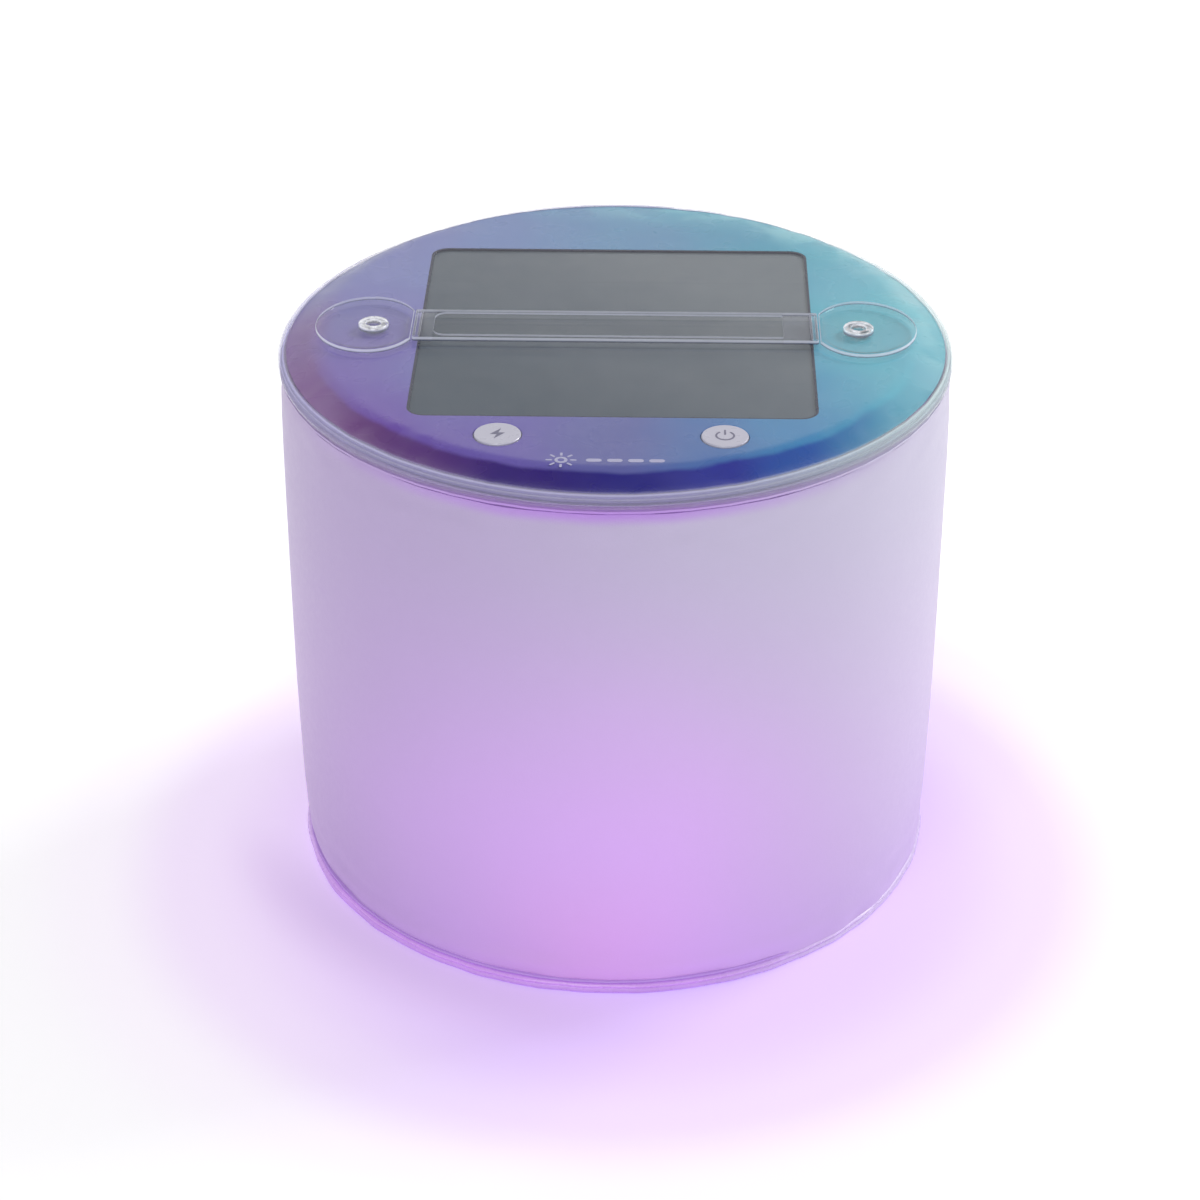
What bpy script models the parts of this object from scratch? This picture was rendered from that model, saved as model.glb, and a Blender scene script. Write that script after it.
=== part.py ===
"""An inflatable solar camping lantern, in metres, +Z up.

The origin is on the ground at the centre of the base. The buttons face -Y and the strap lies along X.
A frosted film drum stands on a welded base ring. A sealed module closes its top: a clear film over a printed
overlay and a solar panel, with the circuit board, lamps and battery below. The drum collapses flat when its
valve is open, so the whole module slides down along +Z.
"""

import math

import bmesh
import bpy

MM = 0.001
GAP = 0.3 * MM  # clearance between neighbouring pieces
FILM = 0.4 * MM  # thickness of each welded film
ROUND_STEPS = 56  # sides of the drum and of what fits it
SMALL_STEPS = 16  # sides of buttons, snaps and screws
SHARP_ANGLE = math.radians(35)
MERGE = 0.01 * MM
CUT_EXTRA = 1.0 * MM  # how far a cutter runs past the face it opens

# Drum
RIM_RADIUS = 62.0 * MM
BASE_RADIUS = 61.45 * MM
BASE_RING_WIDTH = 3.45 * MM
BASE_RING_HEIGHT = 1.9 * MM
WALL_THICKNESS = 0.5 * MM
WALL_BOTTOM = 2.9 * MM
WALL_TOP = 100.6 * MM
# Height and outer radius of the inflated wall, from its pinched foot to its upper seam
WALL_OUTLINE = [
    (WALL_BOTTOM, 60.9 * MM),
    (8.0 * MM, 60.98 * MM),
    (13.0 * MM, 61.2 * MM),
    (22.0 * MM, 61.45 * MM),
    (38.0 * MM, 61.75 * MM),
    (60.0 * MM, 61.85 * MM),
    (82.0 * MM, 61.95 * MM),
    (95.0 * MM, 61.77 * MM),
    (WALL_TOP, 61.4 * MM),
]

# Top flange and dome. The module sits behind the drum's axis, so the dome leans back over it.
LIP_TOP = 102.7 * MM
LIP_BEAD = 0.25 * MM
DOME_TOP = 104.4 * MM
DOME_FLAT_RADIUS = 53.5 * MM
DOME_FOOT_RADIUS = 60.2 * MM
DOME_STEPS = 5
MODULE_Y = 3.5 * MM
LEAN_INNER_RADIUS = 55.7 * MM
LEAN_OUTER_RADIUS = 61.9 * MM
LEAN_POWER = 1.7

# Module, from the film down
OVERLAY_THICKNESS = 0.3 * MM
OVERLAY_RADIUS = 57.8 * MM
OVERLAY_TOP = DOME_TOP - FILM - GAP
PANEL_Y = 3.9 * MM
PANEL_WIDTH = 72.0 * MM
PANEL_DEPTH = 71.5 * MM
PANEL_CORNER = 3.0 * MM
LAMINATE_THICKNESS = 0.4 * MM
CELL_COUNT = 5
CELL_THICKNESS = 0.3 * MM
CELL_SPACING = 0.8 * MM
CELL_MARGIN = 2.0 * MM
BACKING_THICKNESS = 0.8 * MM
LAMINATE_BOTTOM = OVERLAY_TOP - LAMINATE_THICKNESS
CELL_BOTTOM = LAMINATE_BOTTOM - GAP - CELL_THICKNESS
BACKING_BOTTOM = CELL_BOTTOM - GAP - BACKING_THICKNESS

BOARD_TOP = 96.7 * MM
BOARD_THICKNESS = 1.2 * MM
BOARD_RADIUS = 51.5 * MM
BOARD_BOTTOM = BOARD_TOP - BOARD_THICKNESS
ON_BOARD = BOARD_TOP + GAP  # underside of whatever stands on the board

LED_COUNT = 8
LED_RING_RADIUS = 42.0 * MM
LED_SIDE = 5.0 * MM
LED_HEIGHT = 1.3 * MM
LED_LENS_RADIUS = 1.9 * MM
LED_LENS_DEPTH = 0.4 * MM
LED_WINDOW_RADIUS = 3.9 * MM

TRAY_RADIUS = 54.5 * MM
TRAY_WALL = 1.2 * MM
TRAY_FLOOR = 1.0 * MM
TRAY_BOTTOM = 92.6 * MM
TRAY_TOP = OVERLAY_TOP - OVERLAY_THICKNESS - GAP
TRAY_FLOOR_TOP = TRAY_BOTTOM + TRAY_FLOOR
LEDGE_INNER_RADIUS = 46.5 * MM
LEDGE_WIDTH = 8.0 * MM
LEDGE_HEIGHT = 1.0 * MM
CORNER_COUNT = 4
SCREW_RING_RADIUS = 44.0 * MM
SCREW_SHAFT = 1.1 * MM
SCREW_HEAD = 2.1 * MM
SCREW_HEAD_HEIGHT = 1.3 * MM
SCREW_BORE = 1.4 * MM
BOSS_RADIUS = 2.6 * MM
POCKET_RADIUS = 55.6 * MM
POCKET_BOTTOM = 91.9 * MM
POCKET_CORNER = 1.4 * MM
POCKET_LIP_TOP = LIP_TOP - FILM - GAP
HEM_TOP = POCKET_LIP_TOP - FILM - GAP
HEM_WIDTH = 2.5 * MM

# Buttons and their switches
BUTTON_X = 19.7 * MM
BUTTON_Y = -39.3 * MM
BUTTON_RADIUS = 4.15 * MM
BUTTON_SKIRT = 1.4 * MM
BUTTON_STEM_RADIUS = 1.5 * MM
SWITCH_SIDE = 6.0 * MM
SWITCH_HEIGHT = 3.4 * MM
SWITCH_WELL_DEPTH = 1.4 * MM
PLUNGER_RADIUS = 1.6 * MM
PLUNGER_BOTTOM = 99.8 * MM
PLUNGER_TOP = 101.6 * MM

# Battery and what stands on the board
BATTERY_SIZE = (50.0 * MM, 34.0 * MM, 3.6 * MM)
BATTERY_Y = 6.0 * MM
PAD_SIZE = (44.0 * MM, 28.0 * MM, 0.4 * MM)
LEAD_RADIUS = 0.5 * MM
LEAD_SPACING = 2.4 * MM
LEAD_HEIGHT = 99.5 * MM
PLUG_SIZE = (3.5 * MM, 6.0 * MM, 3.4 * MM)
SOCKET_SIZE = (3.7 * MM, 7.0 * MM, 3.8 * MM)
PLUG_X = -33.25 * MM
CHIP_SIZE = (7.0 * MM, 7.0 * MM, 1.2 * MM)
CHIP_PLACE = (-7.0 * MM, -22.0 * MM)
INDUCTOR_RADIUS = 3.0 * MM
INDUCTOR_HEIGHT = 3.0 * MM
INDUCTOR_PLACE = (9.0 * MM, -22.0 * MM)
PANEL_LEAD_Y = 33.0 * MM

# Strap
STRAP_Y = 2.4 * MM
STRAP_THICKNESS = 1.0 * MM
STRAP_WIDTH = 12.0 * MM
STRAP_BOTTOM = DOME_TOP + GAP
STRAP_TOP = STRAP_BOTTOM + STRAP_THICKNESS
HINGE_X = 37.4 * MM
RECESS_DEPTH = 0.35 * MM
RECESS_FROM = -33.5 * MM
RECESS_TO = 30.8 * MM
RECESS_MARGIN = 1.3 * MM
TAB_X = 45.3 * MM
TAB_OUTER_REACH = 10.1 * MM
TAB_HALF_DEPTH = 11.5 * MM
TAB_RIM = 0.9 * MM
TAB_STEPS = 22
SNAP_X = 44.7 * MM
SNAP_RING_RADIUS = 2.9 * MM
SNAP_COLLAR_RADIUS = 2.5 * MM
SNAP_BORE = 1.6 * MM
SNAP_HOLE = 2.8 * MM
SNAP_RING_HEIGHT = 0.9 * MM
STUD_FOOT_RADIUS = 2.3 * MM
STUD_FOOT_HEIGHT = 0.4 * MM
STUD_POST_RADIUS = 1.2 * MM

# Valve in the bottom film, from the outside in
BOTTOM_FILM_RADIUS = 60.6 * MM
BOTTOM_FILM_BOTTOM = BASE_RING_HEIGHT + GAP
VALVE_HOLE = 6.9 * MM
SLEEVE_RADIUS = 6.6 * MM
SLEEVE_BORE = 5.5 * MM
SLEEVE_BOTTOM = 2.0 * MM
SLEEVE_TOP = 4.5 * MM
VALVE_FLANGE_RADIUS = 12.0 * MM
VALVE_FLANGE_HEIGHT = 0.6 * MM
STEM_RADIUS = SLEEVE_BORE - GAP
STEM_BORE = 3.0 * MM
STEM_BOTTOM = 1.2 * MM
STEM_TOP = 11.4 * MM
STEM_LIP_RADIUS = 6.2 * MM
STEM_LIP_HEIGHT = 0.6 * MM
STEM_PULL_HEIGHT = 0.5 * MM
FLAP_SEAT = 10.2 * MM
FLAP_SEAT_RADIUS = 4.3 * MM
FLAP_RADIUS = FLAP_SEAT_RADIUS - GAP
FLAP_THICKNESS = 0.5 * MM
FLAP_HINGE_X = -3.4 * MM
PLUG_CAP_RADIUS = 6.0 * MM
PLUG_CAP_BOTTOM = 0.3 * MM
PLUG_CAP_TOP = 0.9 * MM
PLUG_PEG_ROOT = 2.6 * MM
PLUG_PEG_TIP = 2.2 * MM
PLUG_PEG_TOP = 3.5 * MM
PLUG_HINGE_X = -6.9 * MM
PLUG_LUG_WIDTH = 4.0 * MM

# Colour, roughness, metallic, alpha
FINISHES = {
    "frosted_film": ((0.62, 0.50, 0.76), 0.55, 0.0, 0.85),
    "clear_film": ((0.80, 0.82, 0.88), 0.08, 0.0, 0.30),
    "printed_film": ((0.17, 0.20, 0.48), 0.20, 0.0, 1.0),
    "panel_laminate": ((0.16, 0.19, 0.22), 0.30, 0.0, 1.0),
    "solar_cell": ((0.02, 0.03, 0.08), 0.25, 0.2, 1.0),
    "circuit_board": ((0.78, 0.80, 0.80), 0.45, 0.0, 1.0),
    "white_plastic": ((0.82, 0.82, 0.84), 0.40, 0.0, 1.0),
    "button_plastic": ((0.58, 0.57, 0.68), 0.35, 0.0, 1.0),
    "black_plastic": ((0.03, 0.03, 0.035), 0.40, 0.0, 1.0),
    "lamp": ((0.70, 0.45, 0.95), 0.30, 0.0, 1.0),
    "battery_foil": ((0.55, 0.56, 0.58), 0.35, 0.8, 1.0),
    "foam_tape": ((0.85, 0.84, 0.80), 0.80, 0.0, 1.0),
    "red_lead": ((0.60, 0.03, 0.03), 0.45, 0.0, 1.0),
    "black_lead": ((0.02, 0.02, 0.02), 0.45, 0.0, 1.0),
    "screw_steel": ((0.55, 0.55, 0.56), 0.30, 1.0, 1.0),
}


def clear_scene():
    for obj in list(bpy.data.objects):
        bpy.data.objects.remove(obj)


def new_collection(name):
    collection = bpy.data.collections.new(name)
    bpy.context.scene.collection.children.link(collection)
    return collection


clear_scene()
LANTERN = new_collection("camping_lantern")
CUTTERS = new_collection("cutters")


# ---- Tools shared by the pieces ----


def carrier(name, at=(0.0, 0.0, 0.0), parent=None):
    """An empty that carries a moving body. Its place is on the body's joint axis, in lantern coordinates."""
    empty = bpy.data.objects.new(name, None)
    LANTERN.objects.link(empty)
    place(empty, at, parent)
    return empty


def world_place(obj):
    """The place of an object whose parents are only shifted, never turned."""
    return obj.location + world_place(obj.parent) if obj.parent else obj.location.copy()


def place(obj, at, parent=None):
    """Put an object at a point given in lantern coordinates, carried by a parent."""
    obj.parent = parent
    obj.location = at
    if parent:
        obj.location -= world_place(parent)


def dress(obj, finish):
    """Give a piece its own material."""
    colour, roughness, metallic, alpha = FINISHES[finish]
    material = bpy.data.materials.new(f"{obj.name}_{finish}")
    material.use_nodes = True
    shader = material.node_tree.nodes["Principled BSDF"]
    shader.inputs["Base Color"].default_value = (*colour, 1.0)
    shader.inputs["Roughness"].default_value = roughness
    shader.inputs["Metallic"].default_value = metallic
    shader.inputs["Alpha"].default_value = alpha
    obj.data.materials.clear()
    obj.data.materials.append(material)


def bake(obj):
    """Replace an object's mesh with its evaluated one, shaded smooth between its sharp edges."""
    graph = bpy.context.evaluated_depsgraph_get()
    mesh = bpy.data.meshes.new_from_object(obj.evaluated_get(graph))
    obj.modifiers.clear()
    obj.data = mesh
    mesh.shade_smooth()
    mesh.set_sharp_from_angle(angle=SHARP_ANGLE)


def turned(name, profile, steps=ROUND_STEPS, ring=False, collection=LANTERN):
    """Turn a profile of (radius, height) points about +Z. It runs down its outer side; a ring's closes on itself."""
    count = len(profile)
    edges = [(i, i + 1) for i in range(count - 1)]
    if ring:
        edges.append((count - 1, 0))
    mesh = bpy.data.meshes.new(name)
    mesh.from_pydata([(radius, 0.0, height) for radius, height in profile], edges, [])
    obj = bpy.data.objects.new(name, mesh)
    collection.objects.link(obj)
    screw = obj.modifiers.new("Turn", "SCREW")
    screw.axis = "Z"
    screw.angle = math.tau
    screw.steps = steps
    screw.render_steps = steps
    screw.use_merge_vertices = True
    screw.merge_threshold = MERGE
    bake(obj)
    return obj


def disc_profile(radius, bottom, top):
    return [(0.0, top), (radius, top), (radius, bottom), (0.0, bottom)]


def disc(name, radius, bottom, top, steps=SMALL_STEPS, collection=LANTERN):
    """An upright cylinder about its own origin."""
    return turned(name, disc_profile(radius, bottom, top), steps, collection=collection)


def box(name, size, bevel=0.0, collection=LANTERN):
    """A box about its own centre, with its edges bevelled."""
    bpy.ops.mesh.primitive_cube_add(size=1.0)
    obj = bpy.context.object
    obj.name = name
    obj.data.name = name
    for vertex in obj.data.vertices:
        vertex.co = [value * side for value, side in zip(vertex.co, size)]
    for old in list(obj.users_collection):
        old.objects.unlink(obj)
    collection.objects.link(obj)
    if bevel:
        rounding = obj.modifiers.new("Edges", "BEVEL")
        rounding.width = bevel
        rounding.segments = 1
    return obj


def plate(name, outline, thickness, collection=LANTERN):
    """A flat outline made solid about its own middle height, as a closed mesh."""
    curve = bpy.data.curves.new(name, "CURVE")
    curve.dimensions = "2D"
    curve.fill_mode = "BOTH"
    curve.extrude = thickness / 2
    spline = curve.splines.new("POLY")
    spline.points.add(len(outline) - 1)
    for point, (x, y) in zip(spline.points, outline):
        point.co = (x, y, 0.0, 1.0)
    spline.use_cyclic_u = True
    return as_mesh(name, curve, collection)


def as_mesh(name, curve, collection):
    """A closed mesh object made from a curve, its caps welded to its sides."""
    drawn = bpy.data.objects.new(f"{name}_curve", curve)
    collection.objects.link(drawn)
    graph = bpy.context.evaluated_depsgraph_get()
    mesh = bpy.data.meshes.new_from_object(drawn.evaluated_get(graph))
    shape = bmesh.new()
    shape.from_mesh(mesh)
    bmesh.ops.remove_doubles(shape, verts=shape.verts, dist=MERGE)
    bmesh.ops.recalc_face_normals(shape, faces=shape.faces)
    shape.to_mesh(mesh)
    shape.free()
    obj = bpy.data.objects.new(name, mesh)
    collection.objects.link(obj)
    obj.matrix_world = drawn.matrix_world
    bpy.data.objects.remove(drawn)
    return obj


def combine(obj, other, operation):
    """Cut another shape from an object, or join it on, with a live Boolean."""
    other.hide_render = True
    other.display_type = "WIRE"
    boolean = obj.modifiers.new(other.name, "BOOLEAN")
    boolean.operation = operation
    boolean.solver = "EXACT"
    boolean.object = other


def drill(obj, name, centre, radius, bottom, top, steps=SMALL_STEPS):
    """Cut an upright round hole, at a centre in lantern coordinates."""
    cutter = disc(name, radius, bottom, top, steps, CUTTERS)
    place(cutter, (*centre, 0.0))
    combine(obj, cutter, "DIFFERENCE")


def rounded_rectangle(width, depth, corner, steps=4):
    """The outline of a rectangle with round corners, about its own centre."""
    points = []
    for quarter, (side_x, side_y) in enumerate([(1, 1), (-1, 1), (-1, -1), (1, -1)]):
        for step in range(steps + 1):
            angle = (quarter + step / steps) * math.pi / 2
            x = side_x * (width / 2 - corner) + corner * math.cos(angle)
            y = side_y * (depth / 2 - corner) + corner * math.sin(angle)
            points.append((x, y))
    return points


def on_circle(radius, index, count, offset=0.5):
    """A point on a circle about the module's centre, the first one half a spacing on from +X."""
    angle = math.tau * (index + offset) / count
    return radius * math.cos(angle), MODULE_Y + radius * math.sin(angle)


# ---- Shapes of the leaning dome ----


def lean_at(radius):
    """How far back the dome has moved at this radius: the whole shift on top, none at the lip."""
    share = (radius - LEAN_INNER_RADIUS) / (LEAN_OUTER_RADIUS - LEAN_INNER_RADIUS)
    share = min(max(share, 0.0), 1.0)
    return MODULE_Y * (1.0 - share**LEAN_POWER)


def lean(obj):
    for vertex in obj.data.vertices:
        vertex.co.y += lean_at(math.hypot(vertex.co.x, vertex.co.y))


def dome_height(radius):
    """Height of the top film's outer face at a radius from the dome's centre."""
    share = (radius - DOME_FLAT_RADIUS) / (DOME_FOOT_RADIUS - DOME_FLAT_RADIUS)
    share = min(max(share, 0.0), 1.0)
    drop = share * share * (3.0 - 2.0 * share)
    return DOME_TOP - (DOME_TOP - LIP_TOP) * drop


def dome_sheet(name, radii, below, thickness, bead_at=None):
    """A sheet that follows the dome, its top face this far below the film's outer face."""
    top = []
    for radius in radii:
        bead = LIP_BEAD if radius == bead_at else 0.0
        top.append((radius, dome_height(radius) - below + bead))
    bottom = [(radius, dome_height(radius) - below - thickness) for radius in reversed(radii)]
    sheet = turned(name, top + bottom)
    lean(sheet)
    return sheet


def shoulder_radii(outer):
    """Radii from the dome's centre to its foot, close together on the slope, no further than outer."""
    step = (DOME_FOOT_RADIUS - DOME_FLAT_RADIUS) / DOME_STEPS
    slope = [DOME_FLAT_RADIUS + step * index for index in range(DOME_STEPS + 1)]
    return [0.0, DOME_FLAT_RADIUS / 2] + [radius for radius in slope if radius < outer]


def drill_button_holes(sheet):
    for side in (-1, 1):
        drill(
            sheet,
            f"{sheet.name}_button_hole_{side}",
            (side * BUTTON_X, BUTTON_Y),
            BUTTON_RADIUS + GAP,
            OVERLAY_TOP - OVERLAY_THICKNESS - CUT_EXTRA,
            DOME_TOP + CUT_EXTRA,
            2 * SMALL_STEPS,
        )


# ---- Drum and base ----


def make_base_ring():
    inner = BASE_RADIUS - BASE_RING_WIDTH
    chamfer = 0.35 * MM
    profile = [
        (inner, BASE_RING_HEIGHT),
        (BASE_RADIUS - chamfer, BASE_RING_HEIGHT),
        (BASE_RADIUS, BASE_RING_HEIGHT - chamfer),
        (BASE_RADIUS, chamfer),
        (BASE_RADIUS - chamfer, 0.0),
        (inner + chamfer, 0.0),
        (inner, chamfer),
    ]
    ring = turned("bottom_weld_ring", profile, ring=True)
    dress(ring, "clear_film")


def make_bottom_film():
    top = BOTTOM_FILM_BOTTOM + FILM
    profile = [
        (VALVE_HOLE, top),
        (BOTTOM_FILM_RADIUS, top),
        (BOTTOM_FILM_RADIUS, BOTTOM_FILM_BOTTOM),
        (VALVE_HOLE, BOTTOM_FILM_BOTTOM),
    ]
    film = turned("bottom_film", profile, ring=True)
    dress(film, "frosted_film")


def make_wall():
    outer = [(radius, height) for height, radius in reversed(WALL_OUTLINE)]
    inner = [(radius - WALL_THICKNESS, height) for height, radius in WALL_OUTLINE]
    wall = turned("envelope_wall", outer + inner, ring=True)
    dress(wall, "frosted_film")


# ---- Inflation valve ----


def make_valve_housing():
    flange_bottom = BOTTOM_FILM_BOTTOM + FILM + GAP
    flange_top = flange_bottom + VALVE_FLANGE_HEIGHT
    profile = [
        (SLEEVE_BORE, SLEEVE_TOP),
        (SLEEVE_RADIUS, SLEEVE_TOP),
        (SLEEVE_RADIUS, flange_top),
        (VALVE_FLANGE_RADIUS, flange_top),
        (VALVE_FLANGE_RADIUS, flange_bottom),
        (SLEEVE_RADIUS, flange_bottom),
        (SLEEVE_RADIUS, SLEEVE_BOTTOM),
        (SLEEVE_BORE, SLEEVE_BOTTOM),
    ]
    housing = turned("valve_housing", profile, 2 * SMALL_STEPS, ring=True)
    dress(housing, "clear_film")


def make_valve_stem(stem_carrier):
    profile = [
        (FLAP_SEAT_RADIUS, STEM_TOP),
        (STEM_LIP_RADIUS, STEM_TOP),
        (STEM_LIP_RADIUS, STEM_TOP - STEM_LIP_HEIGHT),
        (STEM_RADIUS, STEM_TOP - STEM_LIP_HEIGHT),
        (STEM_RADIUS, STEM_BOTTOM + STEM_PULL_HEIGHT),
        (SLEEVE_RADIUS, STEM_BOTTOM + STEM_PULL_HEIGHT),
        (SLEEVE_RADIUS, STEM_BOTTOM),
        (STEM_BORE, STEM_BOTTOM),
        (STEM_BORE, FLAP_SEAT),
        (FLAP_SEAT_RADIUS, FLAP_SEAT),
    ]
    stem = turned("valve_stem", profile, 2 * SMALL_STEPS, ring=True)
    place(stem, (0.0, 0.0, 0.0), stem_carrier)
    dress(stem, "clear_film")


def make_valve_flap(stem_carrier):
    """A disc with one straight edge, which it swings up on when air is blown in."""
    hinge_angle = math.acos(-FLAP_HINGE_X / FLAP_RADIUS)
    swept = math.tau - 2 * hinge_angle
    outline = []
    for step in range(SMALL_STEPS + 1):
        angle = -math.pi + hinge_angle + swept * step / SMALL_STEPS
        outline.append((FLAP_RADIUS * math.cos(angle) - FLAP_HINGE_X, FLAP_RADIUS * math.sin(angle)))
    bottom = FLAP_SEAT + GAP
    hinge = carrier("flap_hinge", (FLAP_HINGE_X, 0.0, bottom + FLAP_THICKNESS), stem_carrier)
    flap = plate("valve_flap", outline, FLAP_THICKNESS)
    place(flap, (FLAP_HINGE_X, 0.0, bottom + FLAP_THICKNESS / 2), hinge)
    dress(flap, "white_plastic")


def make_valve_plug(stem_carrier):
    """A tapered peg under a pull cap, swinging on a lug at the edge of the stem."""
    profile = [
        (0.0, PLUG_PEG_TOP),
        (PLUG_PEG_TIP, PLUG_PEG_TOP),
        (PLUG_PEG_ROOT, PLUG_CAP_TOP),
        (PLUG_CAP_RADIUS, PLUG_CAP_TOP),
        (PLUG_CAP_RADIUS, PLUG_CAP_BOTTOM),
        (0.0, PLUG_CAP_BOTTOM),
    ]
    hinge = carrier("plug_hinge", (PLUG_HINGE_X, 0.0, PLUG_CAP_TOP + GAP / 2), stem_carrier)
    plug = turned("valve_plug", profile, 2 * SMALL_STEPS)
    place(plug, (0.0, 0.0, 0.0), hinge)
    lug_from = PLUG_HINGE_X - GAP
    lug_to = 1.5 * MM - PLUG_CAP_RADIUS
    lug = box("valve_plug_lug", (lug_to - lug_from, PLUG_LUG_WIDTH, PLUG_CAP_TOP - PLUG_CAP_BOTTOM), 0.0, CUTTERS)
    place(lug, ((lug_from + lug_to) / 2, 0.0, (PLUG_CAP_TOP + PLUG_CAP_BOTTOM) / 2))
    combine(plug, lug, "UNION")
    dress(plug, "clear_film")


# ---- Films and seams of the module ----


def make_top_film(module):
    bead_radius = RIM_RADIUS - 0.7 * MM
    lip = [RIM_RADIUS - 1.1 * MM, bead_radius, RIM_RADIUS - 0.3 * MM, RIM_RADIUS]
    film = dome_sheet("top_film", shoulder_radii(RIM_RADIUS) + lip, 0.0, FILM, bead_radius)
    place(film, (0.0, 0.0, 0.0), module)
    drill_button_holes(film)
    dress(film, "clear_film")


def make_weld_hem(module):
    """The wall's turned-out upper edge, the lowest layer of the top seam."""
    profile = [
        (RIM_RADIUS - HEM_WIDTH, HEM_TOP),
        (RIM_RADIUS - GAP, HEM_TOP),
        (RIM_RADIUS - GAP, HEM_TOP - FILM),
        (RIM_RADIUS - HEM_WIDTH, HEM_TOP - FILM),
    ]
    hem = turned("top_weld_hem", profile, ring=True)
    place(hem, (0.0, 0.0, 0.0), module)
    dress(hem, "frosted_film")


def make_pocket_film(module):
    """A clear pan that seals the module from the air below it."""
    inner = POCKET_RADIUS - FILM
    lip_radius = RIM_RADIUS - GAP
    profile = [
        (0.0, POCKET_BOTTOM + FILM),
        (inner - POCKET_CORNER, POCKET_BOTTOM + FILM),
        (inner, POCKET_BOTTOM + FILM + POCKET_CORNER),
        (inner, POCKET_LIP_TOP),
        (lip_radius, POCKET_LIP_TOP),
        (lip_radius, POCKET_LIP_TOP - FILM),
        (POCKET_RADIUS, POCKET_LIP_TOP - FILM),
        (POCKET_RADIUS, POCKET_BOTTOM + POCKET_CORNER),
        (POCKET_RADIUS - POCKET_CORNER, POCKET_BOTTOM),
        (0.0, POCKET_BOTTOM),
    ]
    pocket = turned("pocket_film", profile)
    lean(pocket)
    place(pocket, (0.0, 0.0, 0.0), module)
    dress(pocket, "clear_film")


def make_overlay(module):
    overlay = dome_sheet(
        "printed_overlay", shoulder_radii(OVERLAY_RADIUS) + [OVERLAY_RADIUS], FILM + GAP, OVERLAY_THICKNESS
    )
    place(overlay, (0.0, 0.0, 0.0), module)
    outline = rounded_rectangle(PANEL_WIDTH + 2 * GAP, PANEL_DEPTH + 2 * GAP, PANEL_CORNER + GAP)
    window = plate("printed_overlay_window", outline, OVERLAY_THICKNESS + 2 * CUT_EXTRA, CUTTERS)
    place(window, (0.0, PANEL_Y, OVERLAY_TOP - OVERLAY_THICKNESS / 2))
    combine(overlay, window, "DIFFERENCE")
    drill_button_holes(overlay)
    dress(overlay, "printed_film")


# ---- Solar panel ----


def make_solar_panel(module):
    outline = rounded_rectangle(PANEL_WIDTH, PANEL_DEPTH, PANEL_CORNER)
    laminate = plate("panel_laminate", outline, LAMINATE_THICKNESS)
    place(laminate, (0.0, PANEL_Y, LAMINATE_BOTTOM + LAMINATE_THICKNESS / 2), module)
    dress(laminate, "panel_laminate")
    backing = plate("panel_backing", outline, BACKING_THICKNESS)
    place(backing, (0.0, PANEL_Y, BACKING_BOTTOM + BACKING_THICKNESS / 2), module)
    dress(backing, "circuit_board")
    across = PANEL_DEPTH - 2 * CELL_MARGIN
    depth = (across - (CELL_COUNT - 1) * CELL_SPACING) / CELL_COUNT
    for index in range(CELL_COUNT):
        cell = box(f"solar_cell_{index + 1}", (PANEL_WIDTH - 2 * CELL_MARGIN, depth, CELL_THICKNESS))
        y = PANEL_Y - across / 2 + depth / 2 + index * (depth + CELL_SPACING)
        place(cell, (0.0, y, CELL_BOTTOM + CELL_THICKNESS / 2), module)
        dress(cell, "solar_cell")


# ---- Tray, board and lamps ----


def make_tray(module):
    """The pan that holds the board and the panel's corners, with a window under each lamp."""
    chamfer = 0.6 * MM
    inner = TRAY_RADIUS - TRAY_WALL
    profile = [
        (0.0, TRAY_FLOOR_TOP),
        (inner, TRAY_FLOOR_TOP),
        (inner, TRAY_TOP),
        (TRAY_RADIUS, TRAY_TOP),
        (TRAY_RADIUS, TRAY_BOTTOM + chamfer),
        (TRAY_RADIUS - chamfer, TRAY_BOTTOM),
        (0.0, TRAY_BOTTOM),
    ]
    tray = turned("module_tray", profile)
    place(tray, (0.0, MODULE_Y, 0.0), module)
    boss_top = BOARD_BOTTOM - GAP
    ledge_top = BACKING_BOTTOM - GAP
    ledge_outer = TRAY_RADIUS - TRAY_WALL / 2
    for index in range(CORNER_COUNT):
        boss = disc(f"tray_boss_{index}", BOSS_RADIUS, TRAY_FLOOR_TOP - TRAY_FLOOR / 2, boss_top, collection=CUTTERS)
        place(boss, (*on_circle(SCREW_RING_RADIUS, index, CORNER_COUNT), 0.0))
        combine(tray, boss, "UNION")
        ledge = box(
            f"tray_ledge_{index}", (ledge_outer - LEDGE_INNER_RADIUS, LEDGE_WIDTH, LEDGE_HEIGHT), 0.0, CUTTERS
        )
        middle = (ledge_outer + LEDGE_INNER_RADIUS) / 2
        place(ledge, (*on_circle(middle, index, CORNER_COUNT), ledge_top - LEDGE_HEIGHT / 2))
        ledge.rotation_euler.z = math.tau * (index + 0.5) / CORNER_COUNT
        combine(tray, ledge, "UNION")
    for index in range(CORNER_COUNT):
        centre = on_circle(SCREW_RING_RADIUS, index, CORNER_COUNT)
        drill(tray, f"tray_bore_{index}", centre, SCREW_BORE, TRAY_BOTTOM + TRAY_FLOOR / 2, boss_top + CUT_EXTRA)
    for index in range(LED_COUNT):
        centre = on_circle(LED_RING_RADIUS, index, LED_COUNT)
        drill(
            tray,
            f"tray_window_{index}",
            centre,
            LED_WINDOW_RADIUS,
            TRAY_BOTTOM - CUT_EXTRA,
            TRAY_FLOOR_TOP + CUT_EXTRA / 2,
        )
    dress(tray, "white_plastic")


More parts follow.
